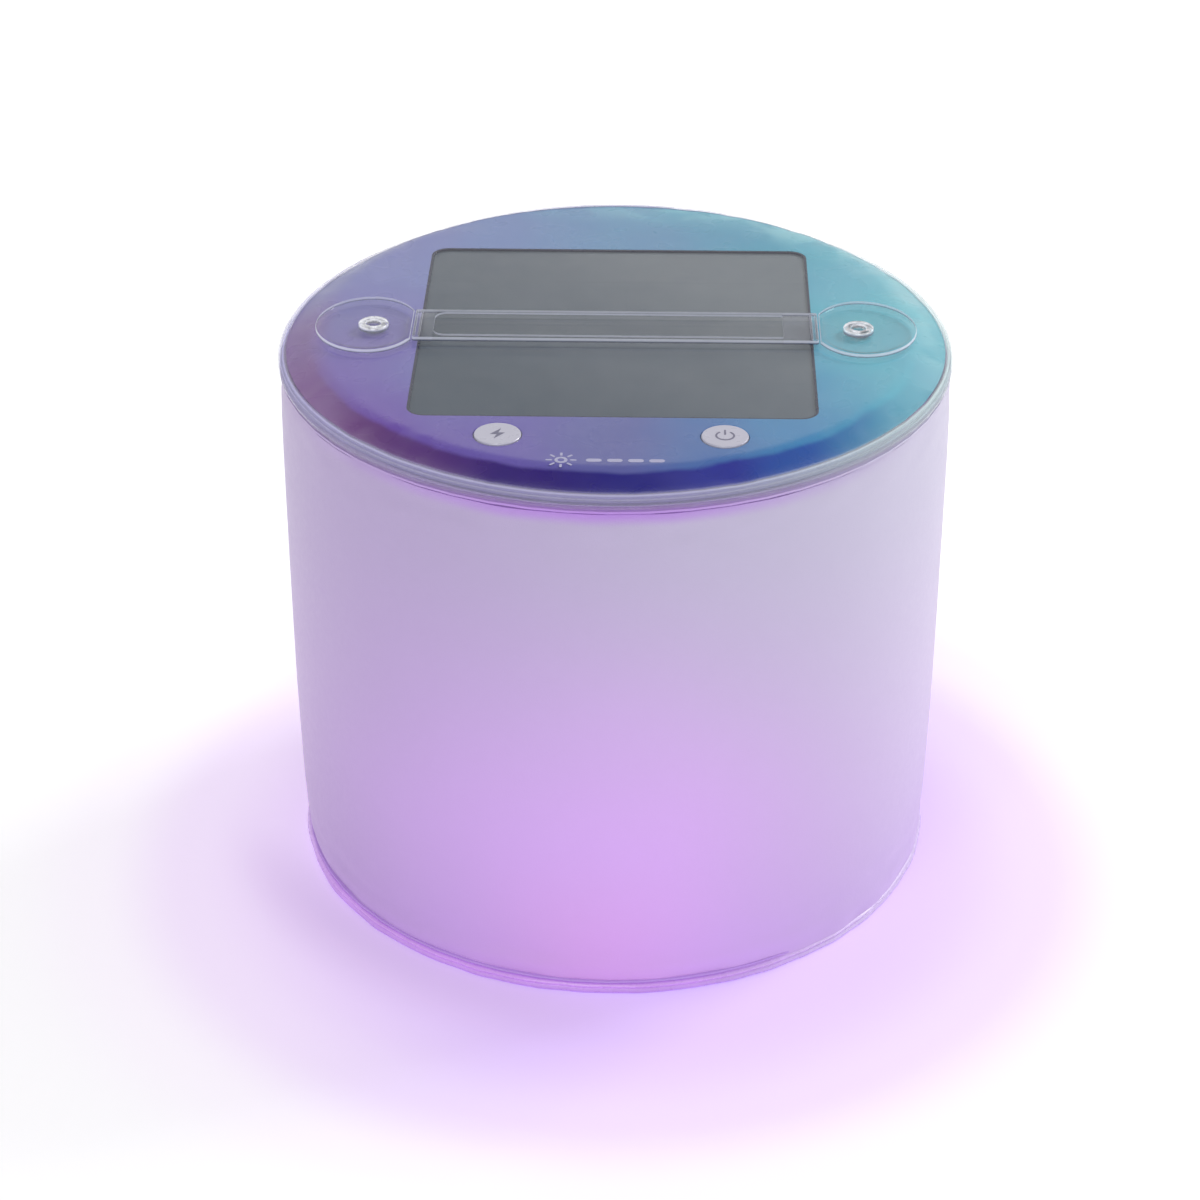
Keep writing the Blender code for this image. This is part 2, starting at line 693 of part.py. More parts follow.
def make_board(module):
    board = disc("main_board", BOARD_RADIUS, BOARD_BOTTOM, BOARD_TOP, ROUND_STEPS)
    place(board, (0.0, MODULE_Y, 0.0), module)
    for index in range(CORNER_COUNT):
        centre = on_circle(SCREW_RING_RADIUS, index, CORNER_COUNT)
        drill(board, f"board_hole_{index}", centre, SCREW_BORE, BOARD_BOTTOM - CUT_EXTRA, BOARD_TOP + CUT_EXTRA)
    dress(board, "circuit_board")


def make_screws(module):
    head_bottom = BOARD_TOP + GAP
    head_top = head_bottom + SCREW_HEAD_HEIGHT
    dome = 0.4 * MM
    profile = [
        (0.0, head_top),
        (SCREW_HEAD - dome, head_top),
        (SCREW_HEAD, head_top - dome),
        (SCREW_HEAD, head_bottom),
        (SCREW_SHAFT, head_bottom),
        (SCREW_SHAFT, TRAY_FLOOR_TOP),
        (0.0, TRAY_FLOOR_TOP - dome),
    ]
    for index in range(CORNER_COUNT):
        screw = turned(f"board_screw_{index + 1}", profile, SMALL_STEPS)
        place(screw, (*on_circle(SCREW_RING_RADIUS, index, CORNER_COUNT), 0.0), module)
        dress(screw, "screw_steel")


def make_lamps(module):
    """Colour LEDs on the board's underside, each with a round pocket facing down."""
    pattern = box("led_1", (LED_SIDE, LED_SIDE, LED_HEIGHT))
    pocket = disc("led_pocket", LED_LENS_RADIUS, -LED_HEIGHT, LED_LENS_DEPTH - LED_HEIGHT / 2, collection=CUTTERS)
    combine(pattern, pocket, "DIFFERENCE")
    bake(pattern)
    bpy.data.objects.remove(pocket)
    height = BOARD_BOTTOM - GAP - LED_HEIGHT / 2
    for index in range(LED_COUNT):
        lamp = pattern
        if index:
            lamp = bpy.data.objects.new(f"led_{index + 1}", pattern.data.copy())
            LANTERN.objects.link(lamp)
        place(lamp, (*on_circle(LED_RING_RADIUS, index, LED_COUNT), height), module)
        dress(lamp, "lamp")


# ---- Battery and electronics ----


def stand_on_board(name, size, centre, finish, module, bevel=0.0, raised=0.0):
    """A box whose underside is a gap above the board, or raised further."""
    piece = box(name, size, bevel)
    place(piece, (*centre, ON_BOARD + raised + size[2] / 2), module)
    dress(piece, finish)
    return piece


def lead(name, start, end, bow, finish, module, points=7):
    """A short wire from start to end that bows aside by this vector at its middle."""
    curve = bpy.data.curves.new(name, "CURVE")
    curve.dimensions = "3D"
    curve.bevel_depth = LEAD_RADIUS
    curve.bevel_resolution = 2
    curve.use_fill_caps = True
    spline = curve.splines.new("POLY")
    spline.points.add(points - 1)
    for index, point in enumerate(spline.points):
        share = index / (points - 1)
        aside = math.sin(math.pi * share) ** 2
        place_on_route = [a + (b - a) * share + c * aside for a, b, c in zip(start, end, bow)]
        point.co = (*place_on_route, 1.0)
    wire = as_mesh(name, curve, LANTERN)
    wire.data.shade_smooth()
    wire.parent = module
    dress(wire, finish)


def make_battery(module):
    pad_centre = (0.0, BATTERY_Y)
    stand_on_board("battery_pad", PAD_SIZE, pad_centre, "foam_tape", module)
    stand_on_board(
        "battery_cell", BATTERY_SIZE, pad_centre, "battery_foil", module, 0.6 * MM, PAD_SIZE[2] + GAP
    )
    stand_on_board("battery_plug", PLUG_SIZE, (PLUG_X, BATTERY_Y), "white_plastic", module, 0.3 * MM, 0.2 * MM)
    socket_x = PLUG_X - PLUG_SIZE[0] / 2 - GAP - SOCKET_SIZE[0] / 2
    stand_on_board("battery_socket", SOCKET_SIZE, (socket_x, BATTERY_Y), "white_plastic", module, 0.3 * MM)
    from_x = -BATTERY_SIZE[0] / 2 - GAP
    to_x = PLUG_X + PLUG_SIZE[0] / 2 + GAP
    for side, name, finish in ((1, "battery_lead_plus", "red_lead"), (-1, "battery_lead_minus", "black_lead")):
        y = BATTERY_Y + side * LEAD_SPACING / 2
        bow = (0.0, side * 0.8 * MM, -0.6 * MM)
        lead(name, (from_x, y, LEAD_HEIGHT), (to_x, y, LEAD_HEIGHT), bow, finish, module)


def make_panel_leads(module):
    top = BACKING_BOTTOM - GAP
    for side, name, finish in ((1, "panel_lead_plus", "red_lead"), (-1, "panel_lead_minus", "black_lead")):
        x = side * LEAD_SPACING
        bow = (side * 0.8 * MM, 0.0, 0.0)
        lead(name, (x, PANEL_LEAD_Y, top), (x, PANEL_LEAD_Y, ON_BOARD), bow, finish, module)


def make_chips(module):
    stand_on_board("controller_chip", CHIP_SIZE, CHIP_PLACE, "black_plastic", module, 0.1 * MM)
    inductor = disc("charge_inductor", INDUCTOR_RADIUS, ON_BOARD, ON_BOARD + INDUCTOR_HEIGHT)
    place(inductor, (*INDUCTOR_PLACE, 0.0), module)
    dress(inductor, "black_plastic")


# ---- Buttons ----


def make_switch(name, x, module):
    """A tact switch with a round well for its plunger."""
    switch = stand_on_board(
        f"{name}_switch", (SWITCH_SIDE, SWITCH_SIDE, SWITCH_HEIGHT), (x, BUTTON_Y), "black_plastic", module
    )
    top = ON_BOARD + SWITCH_HEIGHT
    drill(
        switch, f"{name}_well", (x, BUTTON_Y), PLUNGER_RADIUS + GAP, top - SWITCH_WELL_DEPTH, top + CUT_EXTRA
    )


def make_button(name, x, module):
    """A round button flush with the film, over the plunger that it pushes down."""
    skirt_bottom = DOME_TOP - BUTTON_SKIRT
    edge = 0.15 * MM
    profile = [
        (0.0, DOME_TOP),
        (BUTTON_RADIUS - edge, DOME_TOP),
        (BUTTON_RADIUS, DOME_TOP - edge),
        (BUTTON_RADIUS, skirt_bottom),
        (BUTTON_STEM_RADIUS, skirt_bottom),
        (BUTTON_STEM_RADIUS, PLUNGER_TOP + GAP),
        (0.0, PLUNGER_TOP + GAP),
    ]
    press = carrier(f"{name}_press", (x, BUTTON_Y, 0.0), module)
    button = turned(f"{name}_button", profile, 2 * SMALL_STEPS)
    place(button, (x, BUTTON_Y, 0.0), press)
    dress(button, "button_plastic")
    plunger = disc(f"{name}_plunger", PLUNGER_RADIUS, PLUNGER_BOTTOM, PLUNGER_TOP)
    place(plunger, (x, BUTTON_Y, 0.0), press)
    dress(plunger, "white_plastic")


# ---- Strap ----


def tab_outline(inset=0.0):
    """The strap's round end about its widest place, its straight neck towards -X."""
    half_depth = TAB_HALF_DEPTH - inset
    neck_half = STRAP_WIDTH / 2 - inset
    neck_angle = math.asin(neck_half / half_depth)
    inner_reach = (TAB_X - HINGE_X - GAP / 2 - inset) / math.cos(neck_angle)
    outer_reach = TAB_OUTER_REACH - inset
    points = []
    for step in range(TAB_STEPS + 1):
        angle = neck_angle + (math.tau - 2 * neck_angle) * step / TAB_STEPS
        reach = inner_reach if math.cos(angle) > 0 else outer_reach
        points.append((-reach * math.cos(angle), -half_depth * math.sin(angle)))
    return points


def make_tab(name, side, parent):
    """A round end of the strap: a thin plate in a raised rim, with a hole for its snap."""
    tab = plate(name, tab_outline(), STRAP_THICKNESS)
    turn = 0.0 if side > 0 else math.pi
    place(tab, (side * TAB_X, STRAP_Y, (STRAP_TOP + STRAP_BOTTOM) / 2), parent)
    tab.rotation_euler.z = turn
    recess = plate(f"{name}_recess", tab_outline(TAB_RIM), RECESS_DEPTH + CUT_EXTRA, CUTTERS)
    place(recess, (side * TAB_X, STRAP_Y, STRAP_TOP + (CUT_EXTRA - RECESS_DEPTH) / 2))
    recess.rotation_euler.z = turn
    combine(tab, recess, "DIFFERENCE")
    drill(
        tab,
        f"{name}_snap_hole",
        (side * SNAP_X, STRAP_Y),
        SNAP_HOLE,
        STRAP_BOTTOM - CUT_EXTRA,
        STRAP_TOP + CUT_EXTRA,
    )
    dress(tab, "clear_film")


def make_band(parent):
    """The middle of the strap, thinner along a recess on its top face."""
    length = 2 * HINGE_X - GAP
    band = box("handle_strap", (length, STRAP_WIDTH, STRAP_THICKNESS), 0.2 * MM)
    place(band, (0.0, STRAP_Y, (STRAP_TOP + STRAP_BOTTOM) / 2), parent)
    recess_outline = rounded_rectangle(RECESS_TO - RECESS_FROM, STRAP_WIDTH - 2 * RECESS_MARGIN, 1.5 * MM)
    recess = plate("handle_strap_recess", recess_outline, RECESS_DEPTH + CUT_EXTRA, CUTTERS)
    place(recess, ((RECESS_TO + RECESS_FROM) / 2, STRAP_Y, STRAP_TOP + (CUT_EXTRA - RECESS_DEPTH) / 2))
    combine(band, recess, "DIFFERENCE")
    dress(band, "clear_film")


def make_snap(side_name, side, module, tab_carrier):
    """A stud welded to the film, and the socket ring that the tab clips over it with."""
    x = side * SNAP_X
    tab_top = STRAP_TOP - RECESS_DEPTH
    ring_bottom = tab_top + GAP
    ring_top = ring_bottom + SNAP_RING_HEIGHT
    edge = 0.3 * MM
    collar_bottom = STRAP_BOTTOM + STUD_FOOT_HEIGHT + GAP
    ring_profile = [
        (SNAP_BORE, ring_top - edge),
        (SNAP_BORE + edge, ring_top),
        (SNAP_RING_RADIUS - edge, ring_top),
        (SNAP_RING_RADIUS, ring_top - edge),
        (SNAP_RING_RADIUS, ring_bottom),
        (SNAP_COLLAR_RADIUS, ring_bottom),
        (SNAP_COLLAR_RADIUS, collar_bottom),
        (SNAP_BORE, collar_bottom),
    ]
    ring = turned(f"{side_name}_snap_socket", ring_profile, SMALL_STEPS, ring=True)
    place(ring, (x, STRAP_Y, 0.0), tab_carrier)
    dress(ring, "clear_film")
    foot_top = STRAP_BOTTOM + STUD_FOOT_HEIGHT
    post_top = ring_top - edge
    stud_profile = [
        (0.0, post_top),
        (STUD_POST_RADIUS - edge, post_top),
        (STUD_POST_RADIUS, post_top - edge),
        (STUD_POST_RADIUS, foot_top),
        (STUD_FOOT_RADIUS, foot_top),
        (STUD_FOOT_RADIUS, STRAP_BOTTOM),
        (0.0, STRAP_BOTTOM),
    ]
    stud = turned(f"{side_name}_snap_stud", stud_profile, SMALL_STEPS)
    place(stud, (x, STRAP_Y, 0.0), module)
    dress(stud, "clear_film")


def make_strap(module):
    """The left end stays snapped. The band lifts on the left living hinge, the right end folds on its own."""
    strap = carrier("strap_hinge", (-HINGE_X, STRAP_Y, STRAP_TOP), module)
    right_tab = carrier("right_tab_hinge", (HINGE_X, STRAP_Y, STRAP_TOP), strap)
    make_band(strap)
    make_tab("left_tab", -1, module)
    make_tab("right_tab", 1, right_tab)
    make_snap("left", -1, module, module)
    make_snap("right", 1, module, right_tab)


def main():
    make_base_ring()
    make_bottom_film()
    make_wall()
    make_valve_housing()
    stem_carrier = carrier("valve_slide")
    make_valve_stem(stem_carrier)
    make_valve_flap(stem_carrier)
    make_valve_plug(stem_carrier)
    module = carrier("collapse_slide")
    make_top_film(module)
    make_weld_hem(module)
    make_pocket_film(module)
    make_overlay(module)
    make_solar_panel(module)
    make_tray(module)
    make_board(module)
    make_screws(module)
    make_lamps(module)
    make_battery(module)
    make_panel_leads(module)
    make_chips(module)
    for name, side in (("battery", -1), ("power", 1)):
        make_switch(name, side * BUTTON_X, module)
        make_button(name, side * BUTTON_X, module)
    make_strap(module)


main()
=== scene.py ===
"""The looks of the inflatable solar lantern, around its CAD frame.

Everything is in metres in the frame's own coordinates. The base ring stands on z = 0, the buttons face -Y and
the strap runs along X. Each new piece keeps its origin at the frame's, so object coordinates are lantern
coordinates.
"""

import math

import bpy
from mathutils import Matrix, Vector, noise


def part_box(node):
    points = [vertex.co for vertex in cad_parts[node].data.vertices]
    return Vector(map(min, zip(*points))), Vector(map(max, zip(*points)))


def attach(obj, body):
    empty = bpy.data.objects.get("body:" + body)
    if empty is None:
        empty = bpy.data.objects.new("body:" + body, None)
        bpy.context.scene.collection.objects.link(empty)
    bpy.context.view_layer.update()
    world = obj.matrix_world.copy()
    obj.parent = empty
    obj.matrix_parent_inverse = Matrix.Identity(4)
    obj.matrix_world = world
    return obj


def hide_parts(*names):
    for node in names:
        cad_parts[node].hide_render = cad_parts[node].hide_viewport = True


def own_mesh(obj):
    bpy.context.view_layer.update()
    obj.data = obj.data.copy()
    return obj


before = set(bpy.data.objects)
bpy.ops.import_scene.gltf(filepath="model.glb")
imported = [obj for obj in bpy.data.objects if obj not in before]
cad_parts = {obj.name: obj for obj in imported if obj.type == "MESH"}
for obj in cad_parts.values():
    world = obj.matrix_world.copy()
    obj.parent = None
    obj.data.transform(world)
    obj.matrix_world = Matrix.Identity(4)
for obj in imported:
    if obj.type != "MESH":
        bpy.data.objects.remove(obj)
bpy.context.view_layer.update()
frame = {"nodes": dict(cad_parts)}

MM = 0.001
ROUND_STEPS = 256  # points around the drum and its films
MODULE = "top_module"


# ---- Places read from the frame ----


def corners(node):
    low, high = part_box(node)
    return Vector(low), Vector(high)


def middle(node):
    low, high = corners(node)
    return (low + high) / 2


WALL_LOW, WALL_HIGH = corners("envelope_wall")
RING_HIGH = corners("bottom_weld_ring")[1]
FILM_LOW, FILM_HIGH = corners("top_film")
PANEL_LOW, PANEL_HIGH = corners("panel_laminate")
STRAP_LOW, STRAP_HIGH = corners("handle_strap")
MODULE_Y = middle("main_board").y
RIM_RADIUS = FILM_HIGH.x
RING_RADIUS = RING_HIGH.x
DOME_TOP = FILM_HIGH.z
LIP_BOTTOM = FILM_LOW.z
LIP_TOP = LIP_BOTTOM + 0.4 * MM
FILM = 0.25 * MM  # thickness of the clear top film
PRINT_BELOW = 0.30 * MM  # how far the printed overlay's face is below the film's
BUTTON_HOLE = 4.28 * MM  # radius of the openings for the buttons
GAP = 0.3 * MM  # clearance round the panel
INK = 0.04 * MM  # thickness of a printed mark


# ---- Mesh tools ----


def new_object(name, points, faces, smooth_below=40):
    """A mesh object at the frame's origin, shaded smooth except across sharp edges."""
    mesh = bpy.data.meshes.new(name)
    mesh.from_pydata(points, [], faces)
    mesh.validate()
    mesh.shade_smooth()
    mesh.set_sharp_from_angle(angle=math.radians(smooth_below))
    obj = bpy.data.objects.new(name, mesh)
    bpy.context.scene.collection.objects.link(obj)
    return obj


def ring_surface(name, rings, closed=True, smooth_below=40):
    """A closed body through rings of equally many points.

    closed joins the last ring to the first. Otherwise both get a cap.
    """
    count = len(rings[0])
    points = [point for ring in rings for point in ring]
    faces = []
    last = len(rings) if closed else len(rings) - 1
    for row in range(last):
        below = row * count
        above = (row + 1) % len(rings) * count
        for column in range(count):
            after = (column + 1) % count
            faces.append((below + column, below + after, above + after, above + column))
    if not closed:
        faces.append(tuple(reversed(range(count))))
        faces.append(tuple(range((len(rings) - 1) * count, len(rings) * count)))
    return new_object(name, points, faces, smooth_below)


def around(centre, radius, angle):
    """The point at a radius and an angle about a centre."""
    return centre[0] + radius * math.cos(angle), centre[1] + radius * math.sin(angle)


def turned_body(name, profile, centre=(0.0, 0.0), steps=ROUND_STEPS, closed=True, wave=None):
    """A body turned about an upright axis. The profile of (radius, height) runs up the body's outer side.

    wave(angle, radius, height) gives an extra (radius, height) at a point.
    """
    rings = []
    for radius, height in profile:
        ring = []
        for step in range(steps):
            angle = math.tau * step / steps
            more, lift = wave(angle, radius, height) if wave else (0.0, 0.0)
            ring.append((*around(centre, radius + more, angle), height + lift))
        rings.append(ring)
    return ring_surface(name, rings, closed)


def apply_modifiers(obj):
    graph = bpy.context.evaluated_depsgraph_get()
    mesh = bpy.data.meshes.new_from_object(obj.evaluated_get(graph))
    obj.modifiers.clear()
    obj.data = mesh
    return obj


def combine(obj, others, operation):
    """Cut shapes from an object, or join them on, and remove them."""
    for other in others:
        boolean = obj.modifiers.new("shape", "BOOLEAN")
        boolean.operation = operation
        boolean.solver = "EXACT"
        boolean.object = other
        apply_modifiers(obj)
        bpy.data.objects.remove(other)
    obj.data.shade_smooth()
    obj.data.set_sharp_from_angle(angle=math.radians(40))
    return obj


def upright(name, outline, bottom, top):
    """A flat outline, anticlockwise seen from above, made solid between two heights."""
    low = [(x, y, bottom) for x, y in outline]
    high = [(x, y, top) for x, y in outline]
    return ring_surface(name, [low, high], closed=False, smooth_below=30)


def circle(centre, radius, steps=96):
    return [around(centre, radius, math.tau * step / steps) for step in range(steps)]


def rounded_rectangle(low, high, corner, steps=10):
    """The outline of a rectangle with round corners, between its low and high corners."""
    points = []
    ends = [(high[0], high[1]), (low[0], high[1]), (low[0], low[1]), (high[0], low[1])]
    for quarter, (x, y) in enumerate(ends):
        centre_x = x - corner if x == high[0] else x + corner
        centre_y = y - corner if y == high[1] else y + corner
        for step in range(steps + 1):
            angle = (quarter + step / steps) * math.pi / 2
            points.append(around((centre_x, centre_y), corner, angle))
    return points


def ramp(value, start, end):
    """0 before start, 1 after end, smooth between."""
    share = min(max((value - start) / (end - start), 0.0), 1.0)
    return share * share * (3.0 - 2.0 * share)


def ripple(angle, radius, scale, seed):
    """Smooth noise around the drum, about -0.5 to 0.5. scale is in waves per radian at the rim."""
    place_on = Vector((math.cos(angle), math.sin(angle), radius * 8.0)) * scale
    return noise.noise(place_on + Vector((seed, 2.0 * seed, 3.0 * seed)))


# ---- Material tools ----


def linear(red, green, blue):
    """A colour given as 0 to 255 screen values, as the shaders want it."""
    return tuple((value / 255) ** 2.2 for value in (red, green, blue))


class Look:
    """A material and its node tree, with short ways to add the nodes that the looks here share."""

    def __init__(self, name):
        self.material = bpy.data.materials.new(name)
        self.material.use_nodes = True
        self.tree = self.material.node_tree
        self.shader = self.tree.nodes["Principled BSDF"]
        self.output = self.tree.nodes["Material Output"]
        self.places = self.add("ShaderNodeTexCoord").outputs["Object"]

    def add(self, kind, inputs=None, **settings):
        made = self.tree.nodes.new(kind)
        for name, value in settings.items():
            setattr(made, name, value)
        for name, value in (inputs or {}).items():
            self.put(made.inputs[name], value)
        return made

    def put(self, socket, value):
        if isinstance(value, bpy.types.NodeSocket):
            self.tree.links.new(value, socket)
        elif socket.type == "RGBA" and len(value) == 3:
            socket.default_value = (*value, 1.0)
        else:
            socket.default_value = value

    def set(self, **inputs):
        """Put values or links on the Principled shader: base_color sets Base Color."""
        for name, value in inputs.items():
            words = name.replace("_", " ").title().replace("Ior", "IOR")
            self.put(self.shader.inputs[words], value)

    def math(self, operation, first, second=0.0, third=0.0):
        return self.add("ShaderNodeMath", {0: first, 1: second, 2: third}, operation=operation).outputs[0]

    def times(self, first, *others):
        for other in others:
            first = self.math("MULTIPLY", first, other)
        return first

    def axis(self, name):
        return self.add("ShaderNodeSeparateXYZ", {0: self.places}).outputs[name]

    def reach(self, x=0.0, y=0.0):
        """The distance from an upright line through x and y."""
        across = self.math("POWER", self.math("SUBTRACT", self.axis("X"), x), 2.0)
        away = self.math("POWER", self.math("SUBTRACT", self.axis("Y"), y), 2.0)
        return self.math("SQRT", self.math("ADD", across, away))

    def along(self, value, start, end):
        """How far a value is from start to end, kept within 0 to 1 and smooth."""
        limits = {"Value": value, "From Min": start, "From Max": end}
        return self.add("ShaderNodeMapRange", limits, interpolation_type="SMOOTHSTEP").outputs["Result"]

    def noise(self, size, detail=2.0, low=0.0, high=1.0, stretch=(1.0, 1.0, 1.0)):
        """Noise with features of this size in metres, brought between low and high."""
        spread = self.add("ShaderNodeMapping", {"Vector": self.places, "Scale": stretch}).outputs[0]
        made = self.add("ShaderNodeTexNoise", {"Vector": spread, "Scale": 1.0 / size, "Detail": detail})
        limits = {"Value": made.outputs[0], "From Min": 0.3, "From Max": 0.7, "To Min": low, "To Max": high}
        return self.add("ShaderNodeMapRange", limits, clamp=False).outputs["Result"]

    def blend(self, share, first, second, kind="MIX"):
        made = self.add("ShaderNodeMix", data_type="RGBA", blend_type=kind)
        self.put(made.inputs[0], share)
        self.put(made.inputs[6], first)
        self.put(made.inputs[7], second)
        return made.outputs[2]

    def stops(self, value, colours):
        """A colour that changes along value through (place, colour) stops."""
        made = self.add("ShaderNodeValToRGB", {0: value})
        made.color_ramp.interpolation = "EASE"
        elements = made.color_ramp.elements
        for _ in colours[2:]:
            elements.new(0.5)
        for element, (place_on, colour) in zip(elements, colours):
            element.position = place_on
            element.color = (*colour, 1.0)
        return made.outputs[0]

    def bump(self, height, strength, distance, socket="Normal"):
        made = self.add("ShaderNodeBump", {"Height": height, "Strength": strength, "Distance": distance})
        self.put(self.shader.inputs[socket], made.outputs[0])
        return made.outputs[0]

    def mix_in(self, share, other):
        """Replace a share of the Principled shader with another shader."""
        made = self.add("ShaderNodeMixShader", {0: share, 1: self.shader.outputs[0], 2: other})
        self.tree.links.new(made.outputs[0], self.output.inputs[0])


def dress(obj, material):
    obj.data.materials.clear()
    obj.data.materials.append(material)


def carry(obj, body, material, slot, *nodes):
    """Give a new piece its material and body, and hide the CAD nodes that it stands for. slot is not used."""
    dress(obj, material)
    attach(obj, body)
    if nodes:
        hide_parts(*nodes)
    return obj


# ---- Materials of the outside ----

EDGE_FRONT = 59.3 * MM
EDGE_SIDE = 60.7 * MM
LEAN_AT_EDGE = 2.1 * MM  # how far back the dome stands at EDGE_FRONT
RECESS_LEFT = -33.5 * MM  # the ends of the strap's long recess
RECESS_RIGHT = 30.8 * MM
RECESS_MIDDLE = (RECESS_LEFT + RECESS_RIGHT) / 2
RECESS_REACH = (RECESS_RIGHT - RECESS_LEFT) / 2


def frosted_wall():
    """Frosted film with its light from inside painted on as base colour and emission.

    The painted violet glow is brightest low on the front, greyer at the top and the back. The left side is
    painted darker and the right lighter as light falls, and painted shade darkens a band under the front rim.
    """
    look = Look("frosted_wall_film")
    height = look.axis("Z")
    side = look.axis("X")
    depth = look.axis("Y")
    # painted glow: brightest low on the front and in the middle, fading upwards
    by_height = look.along(height, 98 * MM, 28 * MM)
    facing = look.along(depth, 35 * MM, -62 * MM)
    off_centre = look.math("ABSOLUTE", look.math("ADD", side, 3 * MM))
    central = look.along(off_centre, 62 * MM, 0.0)
    front_middle = look.times(facing, central)
    painted_glow_spot = look.times(front_middle, by_height)
    cloud = look.noise(45 * MM, 1.0, 0.9, 1.1)
    glow = look.times(look.math("MULTIPLY_ADD", painted_glow_spot, 0.72, look.times(by_height, 0.32)), cloud)
    # painted light: darker on the left and lighter on the right, as the studio light falls
    pale = look.blend(look.along(side, -55 * MM, 60 * MM), linear(172, 156, 196), linear(191, 187, 210))
    violet = look.blend(look.along(side, -60 * MM, 50 * MM), linear(182, 146, 214), linear(198, 158, 222))
    foot = look.along(height, 9 * MM, 2 * MM)
    # painted shade: a darker violet band under the front rim, which also gets more emission
    painted_shade_under_rim = look.times(look.along(height, 98.0 * MM, 100.4 * MM), front_middle)
    painted_lit_colour = look.blend(look.times(glow, 0.85), pale, violet)
    look.set(base_color=look.blend(painted_shade_under_rim, painted_lit_colour, linear(164, 126, 204)))
    # painted glow: the emission, with a little more towards the back and at the foot
    behind = look.math("MULTIPLY_ADD", look.along(depth, 10 * MM, 50 * MM), 0.07, 0.035)
    strength = look.math("MULTIPLY_ADD", glow, 0.215, look.math("MULTIPLY_ADD", foot, 0.02, behind))
    strength = look.math("MULTIPLY_ADD", painted_shade_under_rim, 0.09, strength)
    # a pinker painted glow low in the middle
    pink = look.times(look.along(height, 36 * MM, 10 * MM), look.along(off_centre, 30 * MM, 0.0))
    glow_colour = look.blend(pink, linear(214, 160, 230), linear(232, 158, 220))
    look.set(emission_color=glow_colour, emission_strength=strength)
    look.set(roughness=look.noise(1.2 * MM, 3.0, 0.42, 0.55))
    look.set(sheen_weight=0.25, sheen_roughness=0.5, specular_ior_level=0.35)
    grain = look.noise(0.35 * MM, 2.0)
    creases = look.noise(9 * MM, 3.0, 0.0, 1.0, (1.0, 1.0, 0.15))
    look.bump(look.math("MULTIPLY_ADD", creases, 2.0, grain), 0.25, 0.05 * MM)
    return look.material


def lip_haze(look, stops):
    """The haze of the welded flange, by the share of the way from the print's edge to the rim."""
    reach = look.reach()
    sideways = look.along(look.math("DIVIDE", look.axis("Y"), reach), -1.0, 0.0)
    edge = look.math("MULTIPLY_ADD", sideways, EDGE_SIDE - EDGE_FRONT, EDGE_FRONT)
    shift = look.times(look.math("SUBTRACT", 1.0, sideways), LEAN_AT_EDGE)
    limits = {"Value": reach, "From Min": look.math("SUBTRACT", edge, shift), "From Max": RIM_RADIUS}
    across = look.add("ShaderNodeMapRange", limits).outputs[0]
    return look.stops(across, [(place_on, (haze, haze, haze)) for place_on, haze in stops])


def neck_haze(look, haze):
    """The haze of the strap's two ends, beyond its long recess."""
    beside = look.math("ABSOLUTE", look.math("SUBTRACT", look.axis("X"), RECESS_MIDDLE))
    return look.times(look.along(beside, RECESS_REACH - 0.1 * MM, RECESS_REACH + 0.1 * MM), haze)


